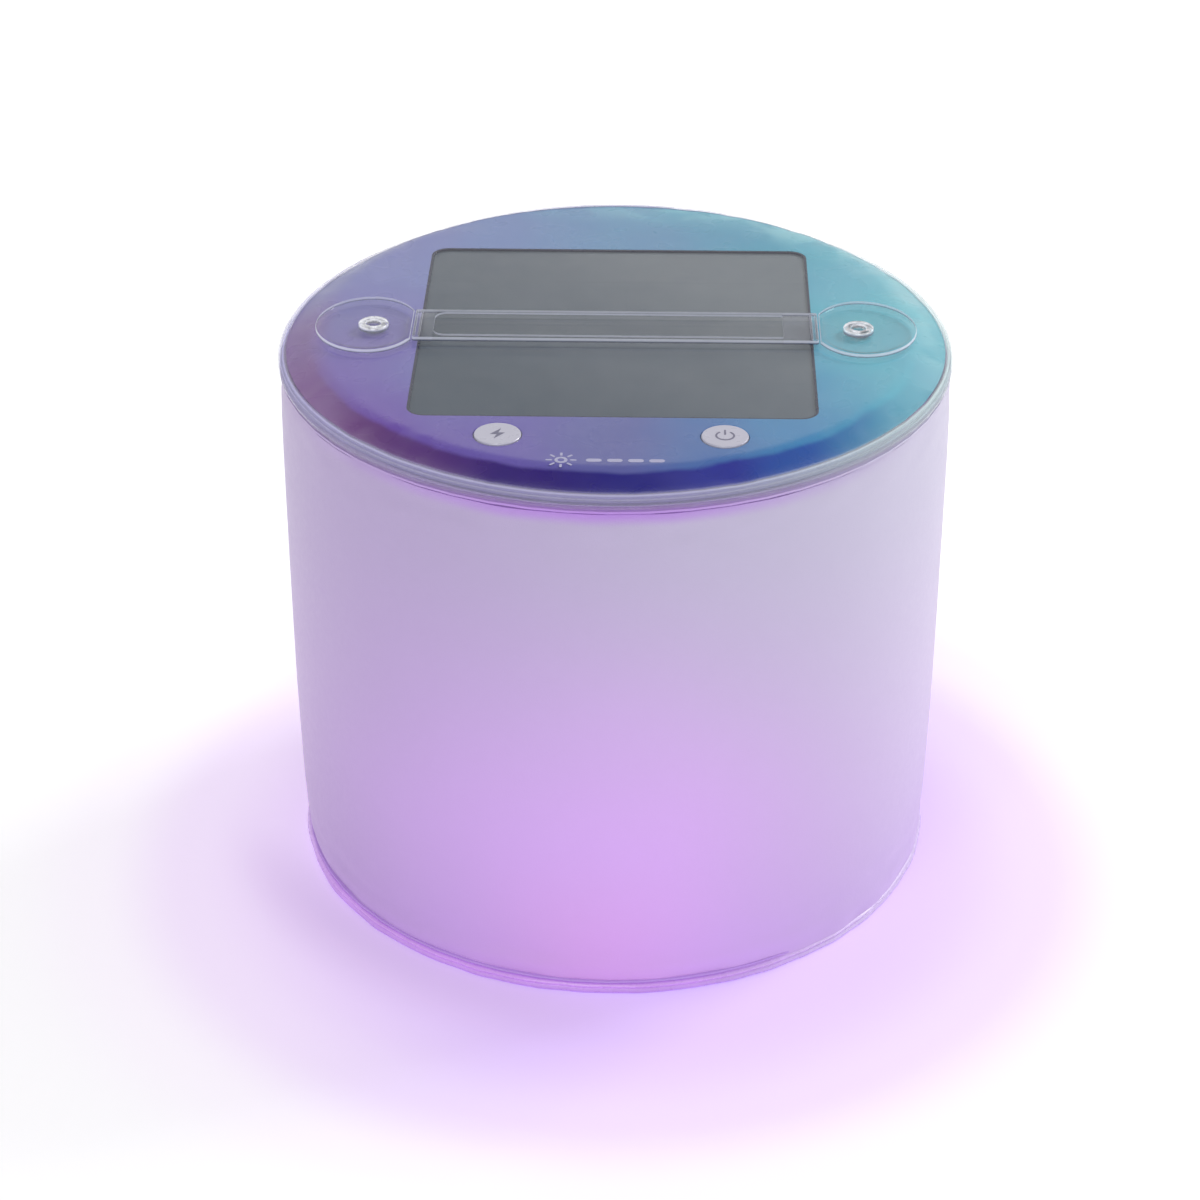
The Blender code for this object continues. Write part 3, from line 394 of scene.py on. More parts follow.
def clear_film(
    name,
    haze=0.01,
    patches=(6 * MM, 0.5),
    edge=0.0,
    lip=(),
    neck=0.0,
    gloss=0.04,
    ior=1.46,
    white=(218, 218, 240),
    shade_heights=(-1.0, 0.0),
    glint=0.0,
):
    """Clear flexible plastic: what is behind shows through, with gloss by Fresnel and a little milky haze.

    patches is the size and the unevenness of the haze. edge is the extra haze of steep faces, a painted
    highlight where a clear sheet's rim gathers light. lip and neck are for lip_haze and neck_haze, and with
    lip the haze is painted aqua-white towards the right, as a painted reflection. The haze is painted shade,
    dark slate, up to the first of shade_heights and white from the second, and glint is the strength of a
    white glow painted on as emission, standing in for glints.
    """
    look = Look(name)
    size, spread = patches
    share = look.noise(size, 3.0, (1 - spread) * haze, (1 + spread) * haze)
    geometry = look.add("ShaderNodeNewGeometry")
    pale = linear(*white)
    # painted highlight: steep faces get extra white haze
    if edge:
        upward = look.add("ShaderNodeSeparateXYZ", {0: geometry.outputs["Normal"]}).outputs["Z"]
        flatness = look.math("ABSOLUTE", upward)
        share = look.math("MULTIPLY_ADD", look.along(flatness, 0.85, 0.35), edge, share)
    if neck:
        share = look.math("ADD", neck_haze(look, neck), share)
    if lip:
        share = look.math("ADD", lip_haze(look, lip), share)
        # painted reflection: the lip's haze turns aqua-white towards the right
        pale = look.blend(look.along(look.axis("X"), 5 * MM, 60 * MM), pale, linear(232, 252, 255))
    # painted shade: the haze is dark slate below the first of shade_heights
    low, high = shade_heights
    look.set(base_color=look.blend(look.along(look.axis("Z"), low, high), linear(64, 78, 112), pale))
    look.set(roughness=look.noise(3 * MM, 2.0, 0.25, 0.45))
    # painted glow: white emission of strength glint, standing in for glints
    look.set(emission_color=(1.0, 1.0, 1.0), emission_strength=glint)
    rough = look.noise(12 * MM, 2.0, gloss, gloss + 0.03)
    normal = look.bump(look.noise(16 * MM, 0.0), 0.10, 0.08 * MM)
    clear = look.add("ShaderNodeBsdfTransparent", {"Color": (1.0, 1.0, 1.0)}).outputs[0]
    gloss_shader = look.add("ShaderNodeBsdfGlossy", {"Roughness": rough, "Normal": normal}).outputs[0]
    mirror = look.add("ShaderNodeFresnel", {"IOR": ior, "Normal": normal}).outputs[0]
    front = look.math("SUBTRACT", 1.0, geometry.outputs["Backfacing"])
    shine = look.times(mirror, front)
    see_through = look.add("ShaderNodeMixShader", {0: shine, 1: clear, 2: gloss_shader}).outputs[0]
    look.mix_in(look.math("SUBTRACT", 1.0, share), see_through)
    return look.material


def seen_below(red, green, blue, reflection=0.09):
    """The colour a print needs so that it looks like this once the film above has added its reflection."""
    return tuple(max(value - reflection, 0.004) for value in linear(red, green, blue))


def printed_film():
    """The overlay's print: violet on the left to teal on the right, deep indigo and blue along the front.

    A pale aqua painted reflection lies near the rim at the right and the back.
    """
    look = Look("iridescent_print")
    drift = look.noise(38 * MM, 2.0, -6 * MM, 6 * MM)
    across = look.along(look.math("ADD", look.axis("X"), drift), -66 * MM, 66 * MM)
    back = look.stops(across, [
        (0.04, seen_below(162, 167, 221)),
        (0.24, seen_below(150, 172, 220)),
        (0.50, seen_below(134, 182, 218)),
        (0.78, seen_below(112, 192, 218)),
        (0.97, seen_below(134, 222, 238)),
    ])
    front = look.stops(across, [
        (0.06, seen_below(144, 106, 200)),
        (0.24, seen_below(140, 126, 204)),
        (0.48, seen_below(128, 132, 192)),
        (0.68, seen_below(110, 144, 202)),
        (0.84, seen_below(104, 166, 216)),
        (0.97, seen_below(128, 212, 232)),
    ])
    slope = look.stops(across, [
        (0.08, seen_below(118, 72, 140, 0.03)),
        (0.28, seen_below(72, 50, 134, 0.03)),
        (0.52, seen_below(46, 46, 144, 0.03)),
        (0.72, seen_below(26, 66, 164, 0.03)),
        (0.84, seen_below(22, 100, 184, 0.03)),
        (0.97, seen_below(110, 190, 212, 0.03)),
    ])
    depth = look.math("MULTIPLY_ADD", drift, 0.6, look.axis("Y"))
    top = look.blend(look.along(depth, 34 * MM, -46 * MM), back, front)
    flat = DOME_TOP - PRINT_BELOW
    uneven = look.math("ADD", look.axis("Z"), look.noise(13 * MM, 2.0, -0.14 * MM, 0.14 * MM))
    fall = look.along(uneven, flat - 0.22 * MM, flat - 0.62 * MM)
    facing = look.along(look.axis("Y"), 20 * MM, -40 * MM)
    colour = look.blend(look.times(fall, facing), top, slope)
    # painted reflection: pale aqua near the rim on the right and at the back, in uneven clouds
    rim = look.along(look.reach(), 51 * MM, 60 * MM)
    right_back = look.along(look.math("MULTIPLY_ADD", look.axis("Y"), 0.8, look.axis("X")), 20 * MM, 68 * MM)
    clouds = look.along(look.noise(15 * MM, 3.0), 0.30, 0.62)
    painted_reflection = look.times(rim, right_back, look.math("MULTIPLY_ADD", clouds, 0.55, 0.30))
    colour = look.blend(painted_reflection, colour, seen_below(180, 246, 255))
    left = look.along(look.axis("X"), -38 * MM, -54 * MM)
    not_back = look.along(look.axis("Y"), 24 * MM, 2 * MM)
    left_rim = look.times(look.along(look.reach(), 51.5 * MM, 56.5 * MM), left, not_back)
    colour = look.blend(look.times(left_rim, 0.6), colour, seen_below(164, 122, 178, 0.05))
    shimmer = look.noise(18 * MM, 1.0, 0.0, 0.14)
    look.set(base_color=look.blend(shimmer, colour, seen_below(152, 140, 210)))
    look.set(roughness=look.noise(8 * MM, 2.0, 0.22, 0.36), specular_ior_level=0.3)
    look.bump(look.noise(16 * MM, 0.0), 0.08, 0.1 * MM)
    return look.material


def panel_face():
    """Grey laminate over the cells: faint cell joints and contact fingers, lighter towards the back right."""
    look = Look("panel_laminate_face")
    corner = look.math("ADD", look.axis("X"), look.axis("Y"))
    grey = look.stops(look.along(corner, -62 * MM, 66 * MM), [
        (0.0, seen_below(80, 94, 106, 0.06)),
        (0.5, seen_below(106, 116, 126, 0.06)),
        (1.0, seen_below(130, 138, 145, 0.06)),
    ])
    cell_pitch = (PANEL_HIGH.y - PANEL_LOW.y) / 5
    rows = look.math("PINGPONG", look.math("SUBTRACT", look.axis("Y"), PANEL_LOW.y), cell_pitch / 2)
    joint = look.along(rows, 0.5 * MM, 0.0)
    finger = look.along(look.math("PINGPONG", look.axis("X"), 0.9 * MM), 0.12 * MM, 0.0)
    marks = look.math("MULTIPLY_ADD", finger, 0.02, look.times(joint, 0.10))
    mottled = look.blend(look.noise(7 * MM, 3.0, 0.0, 0.12), grey, linear(62, 72, 90))
    look.set(base_color=look.blend(marks, mottled, linear(40, 48, 66)))
    look.set(roughness=look.noise(5 * MM, 2.0, 0.30, 0.40), coat_weight=0.2, coat_roughness=0.12)
    look.bump(look.noise(7 * MM, 1.0), 0.04, 0.05 * MM)
    return look.material


def plastic(name, colour, roughness=0.4, grain=0.4 * MM, mottle=0.06, coat=0.0, metallic=0.0, glow=None):
    """Moulded plastic, board, foil or metal: colour drift, a fine grain and uneven gloss.

    grain is the size of its features, and glow a (colour, strength) of light that it gives off.
    """
    look = Look(name)
    darker = tuple(value * 0.72 for value in colour)
    look.set(base_color=look.blend(look.noise(5 * MM, 4.0, 0.0, 4 * mottle), colour, darker))
    look.set(roughness=look.noise(3 * grain, 3.0, roughness - 0.06, roughness + 0.08), metallic=metallic)
    look.set(coat_weight=coat)
    look.bump(look.noise(grain, 2.0), 0.12, 0.04 * MM)
    if glow:
        look.set(emission_color=glow[0], emission_strength=glow[1])
    return look.material


def seam_film():
    """The fused film of the lower seam: glossy and lighter towards its top.

    A faint violet glow is painted along its front, as base colour and emission.
    """
    look = Look("base_seam_film")
    # painted glow: the front takes violet colour and more emission
    front = look.along(look.math("MULTIPLY_ADD", look.axis("X"), 0.5, look.axis("Y")), -16 * MM, -62 * MM)
    patches = look.noise(12 * MM, 3.0, 0.7, 1.2)
    edge = look.along(look.axis("Z"), 0.2 * MM, 1.6 * MM)
    dull = look.blend(edge, linear(208, 194, 226), linear(222, 208, 240))
    violet = look.blend(edge, linear(190, 150, 224), linear(216, 170, 240))
    look.set(base_color=look.blend(front, dull, violet), roughness=look.noise(2 * MM, 2.0, 0.2, 0.35))
    look.set(coat_weight=0.3)
    # painted glow: emission all round, more along the front
    strength = look.times(look.math("MULTIPLY_ADD", front, 0.08, 0.08), patches)
    look.set(emission_color=linear(206, 140, 246), emission_strength=strength)
    look.bump(look.noise(4 * MM, 3.0), 0.3, 0.08 * MM)
    return look.material


# ---- Drum ----

WALL_FOOT = 1.4 * MM  # the wall's film runs on down into the lower seam


def wall_outline():
    """Height and outer radius of the CAD wall at each of its rings, from its foot up."""
    widest = {}
    for vertex in frame["nodes"]["envelope_wall"].data.vertices:
        height = round(vertex.co.z, 5)
        widest[height] = max(widest.get(height, 0.0), vertex.co.xy.length)
    return sorted(widest.items())


def radius_at(outline, height):
    """The outline's radius at a height, on a smooth curve through its points."""
    height = max(height, outline[0][0])
    for index in range(len(outline) - 1):
        if height <= outline[index + 1][0]:
            break
    before = outline[max(index - 1, 0)]
    start, end = outline[index], outline[index + 1]
    after = outline[min(index + 2, len(outline) - 1)]
    span = end[0] - start[0]
    share = (height - start[0]) / span
    leave = (end[1] - before[1]) / (end[0] - before[0]) * span
    arrive = (after[1] - start[1]) / (after[0] - start[0]) * span
    square, cube = share * share, share**3
    return (
        (2 * cube - 3 * square + 1) * start[1]
        + (cube - 2 * square + share) * leave
        + (3 * square - 2 * cube) * end[1]
        + (cube - square) * arrive
    )


def make_wall():
    """The inflated film: slack creases run up from the lower seam and down from the upper one.

    Its foot is tucked in behind the seam, most at the front left.
    """
    outline = wall_outline()
    rows = 90
    thickness = 0.5 * MM
    low, high = WALL_LOW.z, WALL_HIGH.z

    def slack(angle, radius, height):
        near_foot = 1.0 - ramp(height, low, low + 16 * MM)
        near_top = ramp(height, high - 12 * MM, high - 1 * MM)
        fine = ripple(angle, height * 4, 9.0, 3.1)
        broad = ripple(angle, height * 0.6, 2.2, 7.7)
        pinch = math.exp(-(((height - low - 5.5 * MM) / (1.6 * MM)) ** 2))
        front_left = -0.45 * math.cos(angle) - 0.90 * math.sin(angle)
        tuck = 1.0 - ramp(height, WALL_FOOT, WALL_FOOT + 4.5 * MM)
        tuck *= 0.2 + 0.8 * ramp(front_left, 0.3, 0.8)
        more = (0.30 * near_foot + 0.30 * near_top) * MM * fine + 0.25 * MM * broad
        more -= (0.16 * pinch + 1.1 * tuck) * MM
        return more, 0.0

    rise = high - WALL_FOOT
    heights = [WALL_FOOT + rise * row / rows for row in range(rows + 1)]
    outer = [(radius_at(outline, height), height) for height in heights]
    inner = [(radius - thickness, height) for radius, height in reversed(outer)]
    wall = turned_body("frosted_wall", outer + inner, wave=slack)
    carry(wall, "base", frosted_wall(), "frosted_film", "envelope_wall")
    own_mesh(wall)


def make_base_seam():
    """The lower weld flange: a flat ring with two pressed beads and a slightly uneven edge."""
    outer, inner = RING_RADIUS - 0.3 * MM, RING_RADIUS - 3.45 * MM
    top = RING_HIGH.z
    profile = [
        (inner, 0.0),
        (outer - 0.5 * MM, 0.0),
        (outer - 0.12 * MM, 0.12 * top),
        (outer, 0.32 * top),
        (outer - 0.12 * MM, 0.50 * top),
        (outer - 0.40 * MM, 0.60 * top),
        (outer - 0.22 * MM, 0.70 * top),
        (outer - 0.12 * MM, 0.84 * top),
        (outer - 0.3 * MM, 0.96 * top),
        (outer - 0.6 * MM, top),
        (inner, top),
    ]

    def uneven(angle, radius, height):
        edge = ramp(radius, outer - 1.2 * MM, outer)
        return 0.22 * MM * edge * ripple(angle, height, 14.0, 5.5), 0.0

    seam = turned_body("base_weld_seam", profile, wave=uneven)
    carry(seam, "base", seam_film(), "clear_film", "bottom_weld_ring")


# ---- Top film and print ----

DOME_FLAT_RADIUS = 53.5 * MM
DOME_FOOT_RADIUS = 60.2 * MM
LEAN_INNER_RADIUS = 55.7 * MM
LEAN_OUTER_RADIUS = 61.9 * MM
LEAN_POWER = 1.7
BEADS = (0.42, 0.74)  # places of the two beads, as shares of the way from the print's edge to the rim
BEAD_HEIGHT = 0.22 * MM
BEAD_WIDTH = 0.09
PANEL_CORNER = 3.0 * MM


def lean_at(radius):
    """How far back the dome stands over the module at this radius: none at the lip."""
    share = (radius - LEAN_INNER_RADIUS) / (LEAN_OUTER_RADIUS - LEAN_INNER_RADIUS)
    share = min(max(share, 0.0), 1.0)
    return MODULE_Y * (1.0 - share**LEAN_POWER)


def dome_height(radius, angle):
    """The dome's height, flat in the middle and falling to the lip. It stays flat further out at the back."""
    back = max(math.sin(angle), 0.0) ** 2
    flat, foot = DOME_FLAT_RADIUS + 3.2 * MM * back, DOME_FOOT_RADIUS + 1.0 * MM * back
    return DOME_TOP - (DOME_TOP - LIP_TOP) * ramp(radius, flat, foot)


def print_edge(angle):
    """The print's outer radius: narrowest at the front, where the flange shows."""
    return EDGE_FRONT + (EDGE_SIDE - EDGE_FRONT) * ramp(math.sin(angle), -1.0, 0.0)


def stretched(radius, angle):
    """The radius of a ring of the dome at this angle. The ring of EDGE_FRONT lies on the print's edge."""
    edge = print_edge(angle)
    if radius > EDGE_FRONT:
        return edge + (radius - EDGE_FRONT) * (RIM_RADIUS - edge) / (RIM_RADIUS - EDGE_FRONT)
    return radius + (edge - EDGE_FRONT) * ramp(radius, DOME_FLAT_RADIUS - 2 * MM, EDGE_FRONT)


def film_lift(angle, radius):
    """How far the film stands off its smooth dome: creases over the slope, a faint wave on the flat."""
    slope = ramp(radius, 51 * MM, 56 * MM) * (1.0 - ramp(radius, 59.5 * MM, 61 * MM))
    crease = ripple(angle, radius, 11.0, 1.3) + 0.5 * ripple(angle, radius * 2, 26.0, 8.2)
    flat = ripple(angle, radius * 0.4, 2.0, 4.4) * ramp(radius, 38 * MM, 52 * MM)
    return 0.28 * MM * slope * crease + 0.10 * MM * flat


def bead_height(radius, beads):
    """How far the pressed beads stand off the lip at this radius."""
    share = (radius - EDGE_FRONT) / (RIM_RADIUS - EDGE_FRONT)
    return sum(BEAD_HEIGHT * math.exp(-(((share - bead) / BEAD_WIDTH) ** 2)) for bead in beads)


def dome_rings(radii, below, thickness, beads):
    """Rings of a sheet that follows the dome, up over its top face and back under it."""
    rings = []
    for face, order in (("bottom", radii), ("top", list(reversed(radii)))):
        for radius in order:
            extra = -thickness if face == "bottom" else bead_height(radius, beads)
            centre = (0.0, lean_at(radius))
            ring = []
            for step in range(ROUND_STEPS):
                angle = math.tau * step / ROUND_STEPS
                height = dome_height(radius, angle) - below + min(film_lift(angle, radius), 0.0)
                ring.append((*around(centre, stretched(radius, angle), angle), height + extra))
            rings.append(ring)
    return rings


def dome_sheet(name, outer, below, thickness, beads=()):
    """A sheet over the whole dome, its rings close together on the slope and across each bead."""
    radii = [0.5 * MM, 12 * MM, 24 * MM, 36 * MM, 44 * MM, 49 * MM]
    fine = 51 * MM
    while fine < outer - 0.2 * MM:
        radii.append(fine)
        fine += 0.55 * MM if fine < DOME_FOOT_RADIUS else 0.16 * MM
    radii.append(outer)
    return ring_surface(name, dome_rings(radii, below, thickness, beads), closed=False)


def button_cutters(low, high):
    cutters = []
    for node in ("power_button", "battery_button"):
        centre = middle(node)
        cutters.append(upright(f"{node}_hole", circle(centre.xy, BUTTON_HOLE), low, high))
    return cutters


def make_top_film():
    film = dome_sheet("clear_top_film", RIM_RADIUS, 0.0, FILM, BEADS)
    combine(film, button_cutters(LIP_BOTTOM, DOME_TOP + MM), "DIFFERENCE")
    bands = [
        (0.0, 0.0),
        (0.12, 0.22),
        (0.34, 0.80),
        (0.50, 0.30),
        (0.64, 0.50),
        (0.80, 0.20),
        (1.0, 0.12),
    ]
    material = clear_film("clear_dome_film", haze=0.008, lip=bands, gloss=0.03, white=(200, 196, 240))
    carry(film, MODULE, material, "clear_film", "top_film")


def panel_outline(margin):
    """The panel's outline with its round corners, grown by a margin."""
    low = (PANEL_LOW.x - margin, PANEL_LOW.y - margin)
    high = (PANEL_HIGH.x + margin, PANEL_HIGH.y + margin)
    return rounded_rectangle(low, high, PANEL_CORNER + margin)


def make_overlay():
    thickness = 0.15 * MM
    overlay = dome_sheet("iridescent_overlay", EDGE_FRONT, PRINT_BELOW, thickness)
    low = DOME_TOP - 2 * MM
    high = DOME_TOP + MM
    window = panel_outline(GAP)
    combine(overlay, [upright("window", window, low, high)] + button_cutters(low, high), "DIFFERENCE")
    carry(overlay, MODULE, printed_film(), "printed_film", "printed_overlay")


def make_window_edge():
    """A thin dark line between the print and the panel."""
    top = DOME_TOP - PRINT_BELOW - 0.05 * MM
    bottom = PANEL_HIGH.z + 0.02 * MM
    outside = panel_outline(GAP)
    inside = panel_outline(-0.15 * MM)
    rings = [
        [(x, y, bottom) for x, y in outside],
        [(x, y, top) for x, y in outside],
        [(x, y, top) for x, y in inside],
        [(x, y, bottom) for x, y in inside],
    ]
    edge = ring_surface("panel_window_edge", rings, smooth_below=20)
    carry(edge, MODULE, plastic("dark_window_edge", linear(28, 32, 66), 0.3), "printed_film")


# ---- Strap and snaps ----

STRAP_Y = middle("handle_strap").y
TAB_X = 45.3 * MM  # the widest place of each round end
TAB_OUTER_REACH = 10.1 * MM  # from there to the strap's tip
TAB_HALF_DEPTH = 11.5 * MM
STRAP_HALF = (STRAP_HIGH.y - STRAP_LOW.y) / 2
TAB_NECK_X = corners("right_tab")[0].x
TAB_STEPS = 160
NECK_STEPS = 24  # those of them that cross the neck
RECESS_DEPTH = 0.35 * MM
SNAP_HOLE = 2.8 * MM  # radius of the hole in each end for its snap


def tab_outline(inset=0.0):
    """The strap's round end about its widest place, its neck towards -X, anticlockwise from the neck."""
    half_depth = TAB_HALF_DEPTH - inset
    neck_angle = math.asin((STRAP_HALF - inset) / half_depth)
    inner_reach = (TAB_X - TAB_NECK_X - inset) / math.cos(neck_angle)
    outer_reach = TAB_OUTER_REACH - inset
    points = []
    round_steps = TAB_STEPS - NECK_STEPS
    for step in range(round_steps):
        angle = neck_angle + (math.tau - 2 * neck_angle) * step / (round_steps - 1)
        reach = inner_reach if math.cos(angle) > 0 else outer_reach
        points.append((-reach * math.cos(angle), -half_depth * math.sin(angle)))
    start, end = points[-1], points[0]
    for step in range(NECK_STEPS):
        share = (step + 1) / (NECK_STEPS + 1)
        points.append((start[0] + (end[0] - start[0]) * share, start[1] + (end[1] - start[1]) * share))
    return points


def make_tab(side_name, side, body, material):
    """A thin plate inside a rounded raised rim, with a hole for its snap."""
    low, high = STRAP_LOW.z, STRAP_HIGH.z
    floor = high - RECESS_DEPTH
    profile = [
        (0.25 * MM, low),
        (0.0, low + 0.22 * MM),
        (0.0, high - 0.32 * MM),
        (0.10 * MM, high - 0.10 * MM),
        (0.32 * MM, high),
        (0.58 * MM, high),
        (0.80 * MM, high - 0.10 * MM),
        (0.95 * MM, floor + 0.05 * MM),
        (1.15 * MM, floor),
    ]
    snap = middle(f"{side_name}_snap_socket")
    hole_centre = ((snap.x - side * TAB_X) * side, 0.0)
    outline = tab_outline()
    hole = []
    for x, y in outline:
        hole.append(around(hole_centre, SNAP_HOLE, math.atan2(y, x - hole_centre[0])))
    flat_rings = [(hole, low)] + [(tab_outline(inset), height) for inset, height in profile] + [(hole, floor)]
    rings = []
    for points, height in flat_rings:
        rings.append([(side * (TAB_X + x), STRAP_Y + side * y, height) for x, y in points])
    tab = ring_surface(f"strap_{side_name}_end", rings)
    carry(tab, body, material, "strap_plastic", f"{side_name}_tab")


def make_band(material):
    """The strap's middle: rounded edges, a long recess and two small ridges across each neck.

    The recess is round at its left end and square at its right.
    """
    low, high = STRAP_LOW, STRAP_HIGH
    edge = 0.22 * MM
    rings = []
    for inset, height in (
        (edge, low.z),
        (0.0, low.z + edge),
        (0.0, high.z - edge),
        (0.3 * edge, high.z - 0.3 * edge),
        (edge, high.z),
    ):
        outline = rounded_rectangle(
            (low.x + inset, low.y + inset), (high.x - inset, high.y - inset), 0.4 * MM - inset / 2
        )
        rings.append([(x, y, height) for x, y in outline])
    band = ring_surface("strap_band", rings, closed=False)
    margin = 1.3 * MM
    recess_low = (RECESS_LEFT, low.y + margin)
    recess_high = (RECESS_RIGHT, high.y - margin)
    round_end = rounded_rectangle(recess_low, (0.0, recess_high[1]), 2.2 * MM)
    square_end = rounded_rectangle((-5 * MM, recess_low[1]), recess_high, 0.3 * MM)
    floor = high.z - RECESS_DEPTH
    cutters = [
        upright("recess_left", round_end, floor, high.z + MM),
        upright("recess_right", square_end, floor, high.z + MM),
    ]
    combine(band, cutters, "DIFFERENCE")
    carry(band, "strap", material, "strap_plastic", "handle_strap")
    for side in (-1, 1):
        for index, inset in enumerate((0.35 * MM, 1.25 * MM)):
            make_ridge(side, index, (high.x - inset) * side, material)


def make_ridge(side, index, x, material):
    """A small half-round bar moulded across the strap's neck."""
    half, radius = STRAP_HALF - 0.5 * MM, 0.2 * MM
    rings = []
    for step in range(13):
        share = step / 12
        y = STRAP_Y - half + 2 * half * share
        swell = math.sqrt(max(1.0 - (2 * share - 1) ** 6, 0.02))
        ring = []
        for turn in range(16):
            angle = math.tau * turn / 16
            height = STRAP_HIGH.z + 0.8 * radius * swell * math.sin(angle)
            ring.append((x + radius * math.cos(angle), y, height))
        rings.append(ring)
    ridge = ring_surface(f"neck_ridge_{'left' if side < 0 else 'right'}_{index + 1}", rings, closed=False)
    carry(ridge, "strap", material, "strap_plastic")


def make_snap(side_name, body, material, stud_material):
    """The clear socket ring on the strap's end and the stud's post inside it."""
    socket = middle(f"{side_name}_snap_socket")
    low, high = corners(f"{side_name}_snap_socket")
    ring_bottom = STRAP_HIGH.z - 0.5 * MM
    outer, bore = (high.x - low.x) / 2 - 0.15 * MM, 1.5 * MM
    crown = 0.25 * MM
    top = STRAP_HIGH.z + 0.10 * MM
    profile = [
        (bore, ring_bottom),
        (outer - 0.08 * MM, ring_bottom),
        (outer, ring_bottom + 0.12 * MM),
    ]
    middle_radius = (outer + bore) / 2
    half_width = (outer - bore) / 2
    for step in range(9):
        angle = math.pi * step / 8
        profile.append((middle_radius + half_width * math.cos(angle), top - crown * (1 - math.sin(angle))))
    ring = turned_body(f"{side_name}_snap_ring", profile, socket.xy, 64)
    carry(ring, body, material, "snap_plastic", f"{side_name}_snap_socket")
    stud_low, stud_high = corners(f"{side_name}_snap_stud")
    foot = (stud_high.x - stud_low.x) / 2
    profile = [
        (foot, stud_low.z),
        (foot, stud_low.z + 0.3 * MM),
        (foot - 0.15 * MM, stud_low.z + 0.4 * MM),
        (1.1 * MM, stud_low.z + 0.42 * MM),
        (1.05 * MM, top - 0.75 * MM),
        (1.2 * MM, top - 0.50 * MM),
        (1.15 * MM, top - 0.22 * MM),
        (0.9 * MM, top - 0.08 * MM),
        (0.5 * MM, top - 0.16 * MM),
    ]
    centre = middle(f"{side_name}_snap_stud").xy
    stud = turned_body(f"{side_name}_snap_post", profile, centre, 48, closed=False)
    carry(stud, MODULE, stud_material, "snap_plastic", f"{side_name}_snap_stud")


# ---- Marks on the buttons and the print ----


def printed_bar(name, start, end, width, height):
    """A short round-ended bar of ink."""
    along = (Vector(end) - Vector(start)).normalized()
    heading = math.atan2(along.y, along.x)
    outline = []
    for place_on, turn in ((end, heading - math.pi / 2), (start, heading + math.pi / 2)):
        for step in range(9):
            angle = turn + math.pi * step / 8
            outline.append(around(place_on, width / 2, angle))
    return upright(name, outline, height, height + INK)


def printed_arc(name, centre, radius, width, start, end, height):
    """Part of a ring of ink, from one angle to another in degrees."""
    inner, outer = [], []
    for step in range(49):
        angle = math.radians(start + (end - start) * step / 48)
        outer.append(around(centre, radius + width / 2, angle))
        inner.append(around(centre, radius - width / 2, angle))
    return upright(name, outer + list(reversed(inner)), height, height + INK)


def make_button_marks(ink):
    top = corners("power_button")[1].z
    power = middle("power_button").xy
    line = 0.32 * MM
    ring = printed_arc("power_mark_ring", power, 1.55 * MM, line, 125, 415, top)
    start, end = (power.x, power.y + 0.5 * MM), (power.x, power.y + 2.0 * MM)
    bar = printed_bar("power_mark_bar", start, end, line, top)
    for mark in (ring, bar):
        carry(mark, "power_button", ink, "button_plastic")
    battery = middle("battery_button").xy
    zigzag = [(0.55, 1.9), (-1.25, -0.25), (-0.1, -0.25), (-0.55, -1.9), (1.25, 0.3), (0.1, 0.3)]
    outline = [(battery.x + x * MM, battery.y + y * MM) for x, y in zigzag]
    carry(upright("charge_mark_bolt", outline, top, top + INK), "battery_button", ink, "button_plastic")


def make_sun_mark(ink):
    """A generic sun printed on the overlay near the front, with four charge bars beside it."""
    height = DOME_TOP - PRINT_BELOW
    centre = Vector((-8.4 * MM, -48.4 * MM))
    marks = [printed_arc("sun_mark_disc", centre, 0.85 * MM, 0.55 * MM, 0, 359, height)]
    for ray in range(8):
        way = Vector((math.cos(math.tau * ray / 8), math.sin(math.tau * ray / 8)))
        start, end = centre + way * 1.75 * MM, centre + way * 2.45 * MM
        marks.append(printed_bar(f"sun_mark_ray_{ray + 1}", start, end, 0.45 * MM, height))
    for index in range(4):
        start = Vector(((-3.6 + index * 3.6) * MM, centre.y))
        end = start + Vector((1.6 * MM, 0.0))
        marks.append(printed_bar(f"charge_bar_{index + 1}", start, end, 1.1 * MM, height))
    for mark in marks:
        carry(mark, MODULE, ink, "printed_film")


# ---- Finishes of the CAD pieces that stay ----


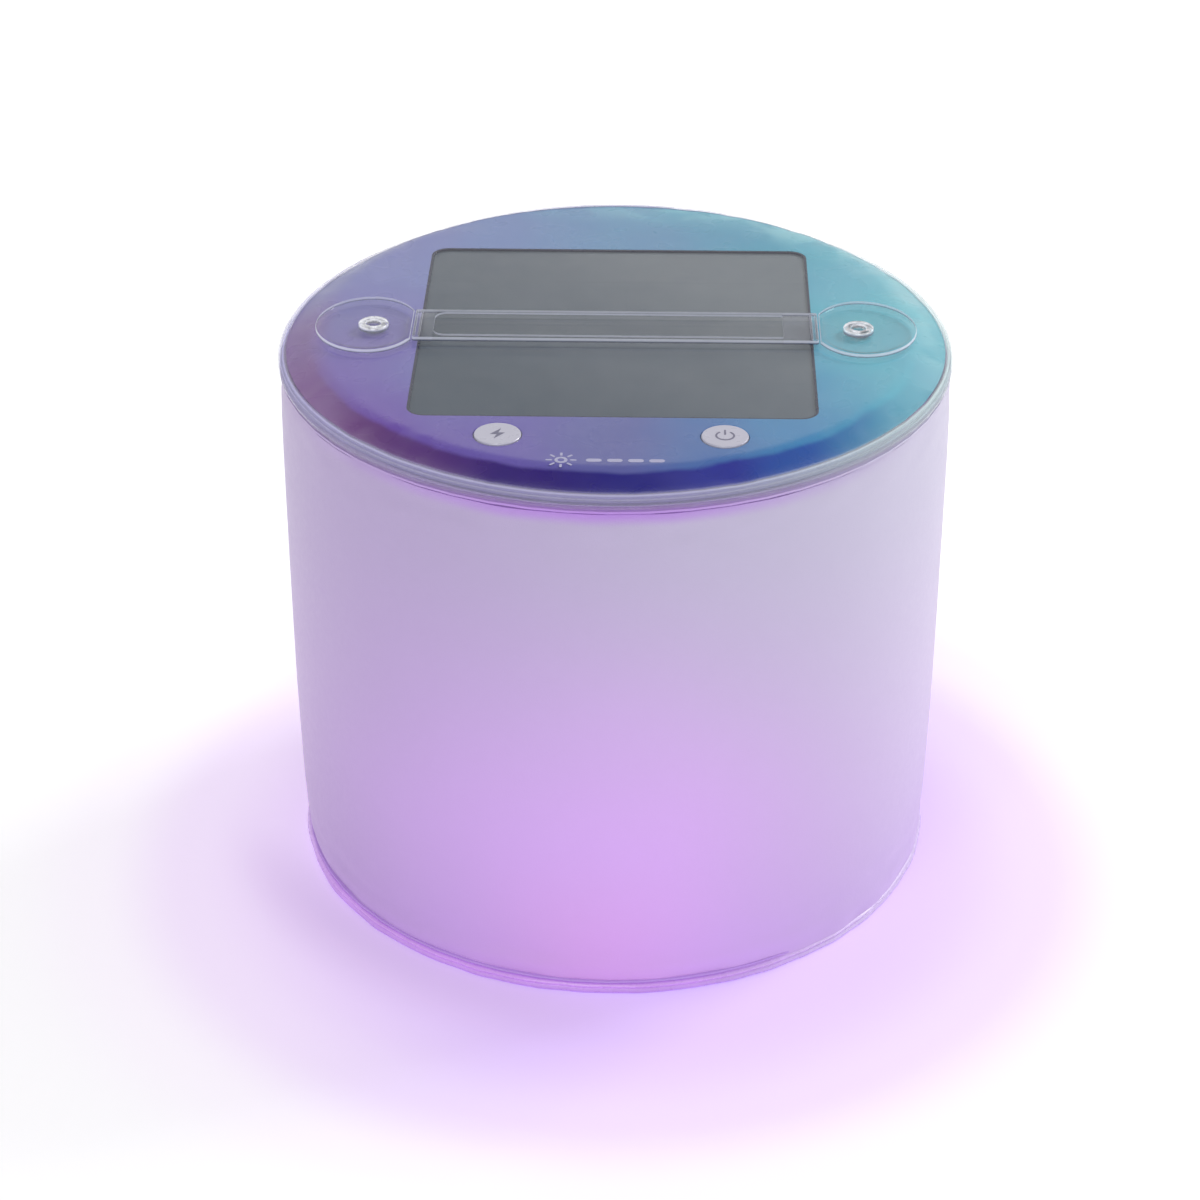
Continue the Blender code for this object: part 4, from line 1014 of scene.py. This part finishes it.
def finish_cad_nodes():
    nodes = frame["nodes"]
    white = plastic("white_moulding", linear(228, 228, 232), 0.42)
    board = plastic("white_solder_mask", linear(224, 228, 226), 0.35, 0.2 * MM, 0.04, 0.3)
    black = plastic("black_moulding", linear(36, 36, 40), 0.45)
    steel = plastic("zinc_steel", linear(196, 197, 200), 0.28, 0.15 * MM, 0.08, 0.0, 1.0)
    foil = plastic("battery_foil", linear(190, 192, 196), 0.35, 0.8 * MM, 0.10, 0.0, 0.9)
    valve = plastic("valve_vinyl", linear(214, 216, 226), 0.25, 0.6 * MM, 0.05, 0.4)
    light = (linear(190, 110, 255), 4.0)
    lamp = plastic("lamp_lit", linear(225, 190, 255), 0.3, 0.3 * MM, 0.03, 0.2, glow=light)
    button = plastic("button_cap", linear(206, 204, 222), 0.30, 0.5 * MM, 0.02, 0.6)
    looks = {
        "panel_laminate": panel_face(),
        "panel_backing": board,
        "main_board": board,
        "module_tray": white,
        "battery_cell": foil,
        "battery_pad": plastic("foam_tape", linear(222, 218, 208), 0.85, 0.5 * MM, 0.10),
        "battery_plug": white,
        "battery_socket": white,
        "battery_lead_plus": plastic("red_insulation", linear(178, 30, 30), 0.4),
        "battery_lead_minus": black,
        "panel_lead_plus": plastic("red_insulation_panel", linear(178, 30, 30), 0.4),
        "panel_lead_minus": black,
        "controller_chip": black,
        "charge_inductor": plastic("ferrite", linear(58, 56, 54), 0.55, 0.2 * MM, 0.12),
        "battery_switch": black,
        "power_switch": black,
        "battery_plunger": white,
        "power_plunger": white,
        "power_button": button,
        "battery_button": button,
        "bottom_film": frosted_floor(),
        "top_weld_hem": frosted_wall(),
        "pocket_film": clear_film("pocket_film_clear", haze=0.06),
        "valve_housing": valve,
        "valve_stem": valve,
        "valve_plug": valve,
        "valve_flap": plastic("flap_silicone", linear(220, 220, 222), 0.6),
    }
    cell = plastic("cell_silicon", linear(34, 42, 72), 0.25, 0.3 * MM, 0.10, 0.5)
    for name in nodes:
        if name.startswith("solar_cell"):
            looks[name] = cell
        elif name.startswith("board_screw"):
            looks[name] = steel
        elif name.startswith("led"):
            looks[name] = lamp
    for name, material in looks.items():
        dress(nodes[name], material)


def frosted_floor():
    """The bottom film: the same frosted plastic as the wall.

    A glow is painted on as base colour and emission, strongest in its middle.
    """
    look = Look("frosted_floor_film")
    # painted glow: more violet and more emission towards the middle
    painted_glow_middle = look.along(look.reach(), 60 * MM, 8 * MM)
    look.set(base_color=look.blend(painted_glow_middle, linear(190, 160, 220), linear(214, 170, 240)))
    strength = look.math("MULTIPLY_ADD", painted_glow_middle, 0.15, 0.08)
    look.set(emission_color=linear(206, 130, 255), emission_strength=strength)
    look.set(roughness=look.noise(1.2 * MM, 3.0, 0.42, 0.55))
    look.bump(look.noise(6 * MM, 3.0), 0.3, 0.15 * MM)
    return look.material


# ---- Stage ----

BACKDROP = 0.75
CEILING = 0.20
LIGHT_DISTANCE = 1.9
KEY_POWER = 12.0
FRONT_POWER = 6.0
FLOOR_GLOW = 0.36
CAMERA_PLACE = Vector((8.98, -520.6, 352.3)) * MM
CAMERA_AIM = Vector((-2.83, -0.06, 48.3)) * MM
CAMERA_LENS = 93.77


def make_floor():
    """A white floor with the lantern's violet light painted around its foot and a painted shadow beside it.

    The painted light round the foot is darker on the right, to offset the stronger key light there.
    """
    size = 4.0
    points = [(-size, -size, 0), (size, -size, 0), (size, size, 0), (-size, size, 0)]
    floor = new_object("floor", points, [(0, 1, 2, 3)])
    look = Look("pale_floor")
    # painted light: a violet glow round the foot, darker on the right where the key light is stronger
    away = look.along(look.reach(0.0, -14 * MM), 52 * MM, 130 * MM)
    left = look.stops(away, [
        (0.0, linear(237, 219, 248)),
        (0.35, linear(245, 232, 252)),
        (0.7, linear(254, 250, 255)),
        (1.0, linear(255, 255, 255)),
    ])
    right = look.stops(away, [
        (0.0, linear(220, 198, 244)),
        (0.35, linear(231, 214, 249)),
        (0.7, linear(248, 240, 254)),
        (1.0, linear(255, 255, 255)),
    ])
    painted_floor_glow = look.blend(look.along(look.axis("X"), -75 * MM, 0.0), left, right)
    # painted shadow: a soft darker patch at the front left, just outside the foot
    front_left = look.math("MULTIPLY_ADD", look.axis("X"), -0.6, look.times(look.axis("Y"), -0.8))
    painted_contact_shadow = look.times(look.along(front_left, 44 * MM, 66 * MM), look.along(look.reach(), 80 * MM, 63 * MM))
    colour = look.blend(look.times(painted_contact_shadow, 0.75), painted_floor_glow, linear(208, 186, 224))
    colour = look.blend(look.noise(60 * MM, 1.0, 0.0, 0.03), colour, linear(246, 242, 250))
    look.set(base_color=colour, roughness=0.6, specular_ior_level=0.1)
    # the floor gives off its own colour, the painted light included, more of it further out so that the far
    # floor stays white
    near = look.times(look.along(look.reach(), 70 * MM, 220 * MM), 0.08)
    far = look.math("MULTIPLY_ADD", look.along(look.reach(), 0.2, 2.0), 0.40, near)
    look.set(emission_color=colour, emission_strength=look.math("ADD", far, FLOOR_GLOW))
    dress(floor, look.material)


def area_light(name, way, size, power):
    """A square soft light, LIGHT_DISTANCE from the lantern along a direction."""
    light = bpy.data.lights.new(name, "AREA")
    light.size = size
    light.energy = power
    obj = bpy.data.objects.new(name, light)
    bpy.context.scene.collection.objects.link(obj)
    obj.location = Vector(way).normalized() * LIGHT_DISTANCE
    obj.rotation_euler = (-obj.location).to_track_quat("-Z", "Y").to_euler()


def make_light():
    """A backdrop that lights brightly low down and dimly overhead, and is white to the camera.

    Two large soft lights stand on the right and over the front.
    """
    world = bpy.data.worlds.new("studio")
    bpy.context.scene.world = world
    world.use_nodes = True
    tree = world.node_tree
    ways = tree.nodes.new("ShaderNodeTexCoord")
    split = tree.nodes.new("ShaderNodeSeparateXYZ")
    level = tree.nodes.new("ShaderNodeMapRange")
    camera = tree.nodes.new("ShaderNodeLightPath")
    brightest = tree.nodes.new("ShaderNodeMath")
    tree.links.new(ways.outputs["Generated"], split.inputs[0])
    tree.links.new(split.outputs["Z"], level.inputs["Value"])
    for name, value in {"From Min": 0.57, "From Max": 0.74, "To Min": BACKDROP, "To Max": CEILING}.items():
        level.inputs[name].default_value = value
    brightest.operation = "MAXIMUM"
    tree.links.new(level.outputs["Result"], brightest.inputs[0])
    tree.links.new(camera.outputs["Is Camera Ray"], brightest.inputs[1])
    tree.links.new(brightest.outputs[0], tree.nodes["Background"].inputs["Strength"])
    tree.nodes["Background"].inputs["Color"].default_value = (1.0, 1.0, 1.0, 1.0)
    area_light("key_right", (0.66, 0.42, 0.60), 0.7, KEY_POWER)
    area_light("front_top", (-0.12, -0.48, 0.87), 0.8, FRONT_POWER)


def make_camera():
    """The photograph's view: 30 degrees down, 603 mm from the lantern, turned 1.3 degrees about it."""
    camera = bpy.data.cameras.new("photo_camera")
    camera.sensor_width = 36.0
    camera.lens = CAMERA_LENS
    obj = bpy.data.objects.new("photo_camera", camera)
    bpy.context.scene.collection.objects.link(obj)
    obj.location = CAMERA_PLACE
    obj.rotation_euler = (CAMERA_AIM - CAMERA_PLACE).to_track_quat("-Z", "Y").to_euler()
    bpy.context.scene.camera = obj


def make_strap_and_snaps():
    # painted shade: the lower part of the strap's sides is dark slate
    painted_shade_heights = (STRAP_LOW.z + 0.30 * MM, STRAP_LOW.z + 0.60 * MM)
    moulded = {
        "haze": 0.004,
        "edge": 0.7,
        "gloss": 0.05,
        "ior": 1.2,
        "white": (226, 230, 248),
        "shade_heights": painted_shade_heights,
    }
    # painted highlights: steep faces get white haze, and glint adds a white glow to the rims
    strap = clear_film("clear_strap", glint=0.12, **moulded)
    band = clear_film("clear_band", glint=0.03, neck=0.09, **moulded)
    # painted highlights: the snap's patchy white haze and white glow stand in for its glints
    snap = clear_film(
        "clear_snap",
        haze=0.17,
        patches=(1.5 * MM, 1.8),
        edge=0.30,
        gloss=0.02,
        white=(246, 248, 255),
        glint=0.42,
    )
    stud = clear_film("clear_stud", haze=0.03, edge=0.12, gloss=0.02)
    make_band(band)
    make_tab("left", -1, MODULE, strap)
    make_tab("right", 1, "right_tab", strap)
    make_snap("left", MODULE, snap, stud)
    make_snap("right", "right_tab", snap, stud)


def main():
    make_camera()
    make_light()
    make_floor()
    make_wall()
    make_base_seam()
    make_overlay()
    make_window_edge()
    make_top_film()
    make_strap_and_snaps()
    make_button_marks(plastic("mark_ink", linear(128, 126, 150), 0.4))
    make_sun_mark(plastic("pale_ink", linear(196, 194, 230), 0.4))
    finish_cad_nodes()


main()
bpy.context.scene.view_settings.view_transform = "Standard"
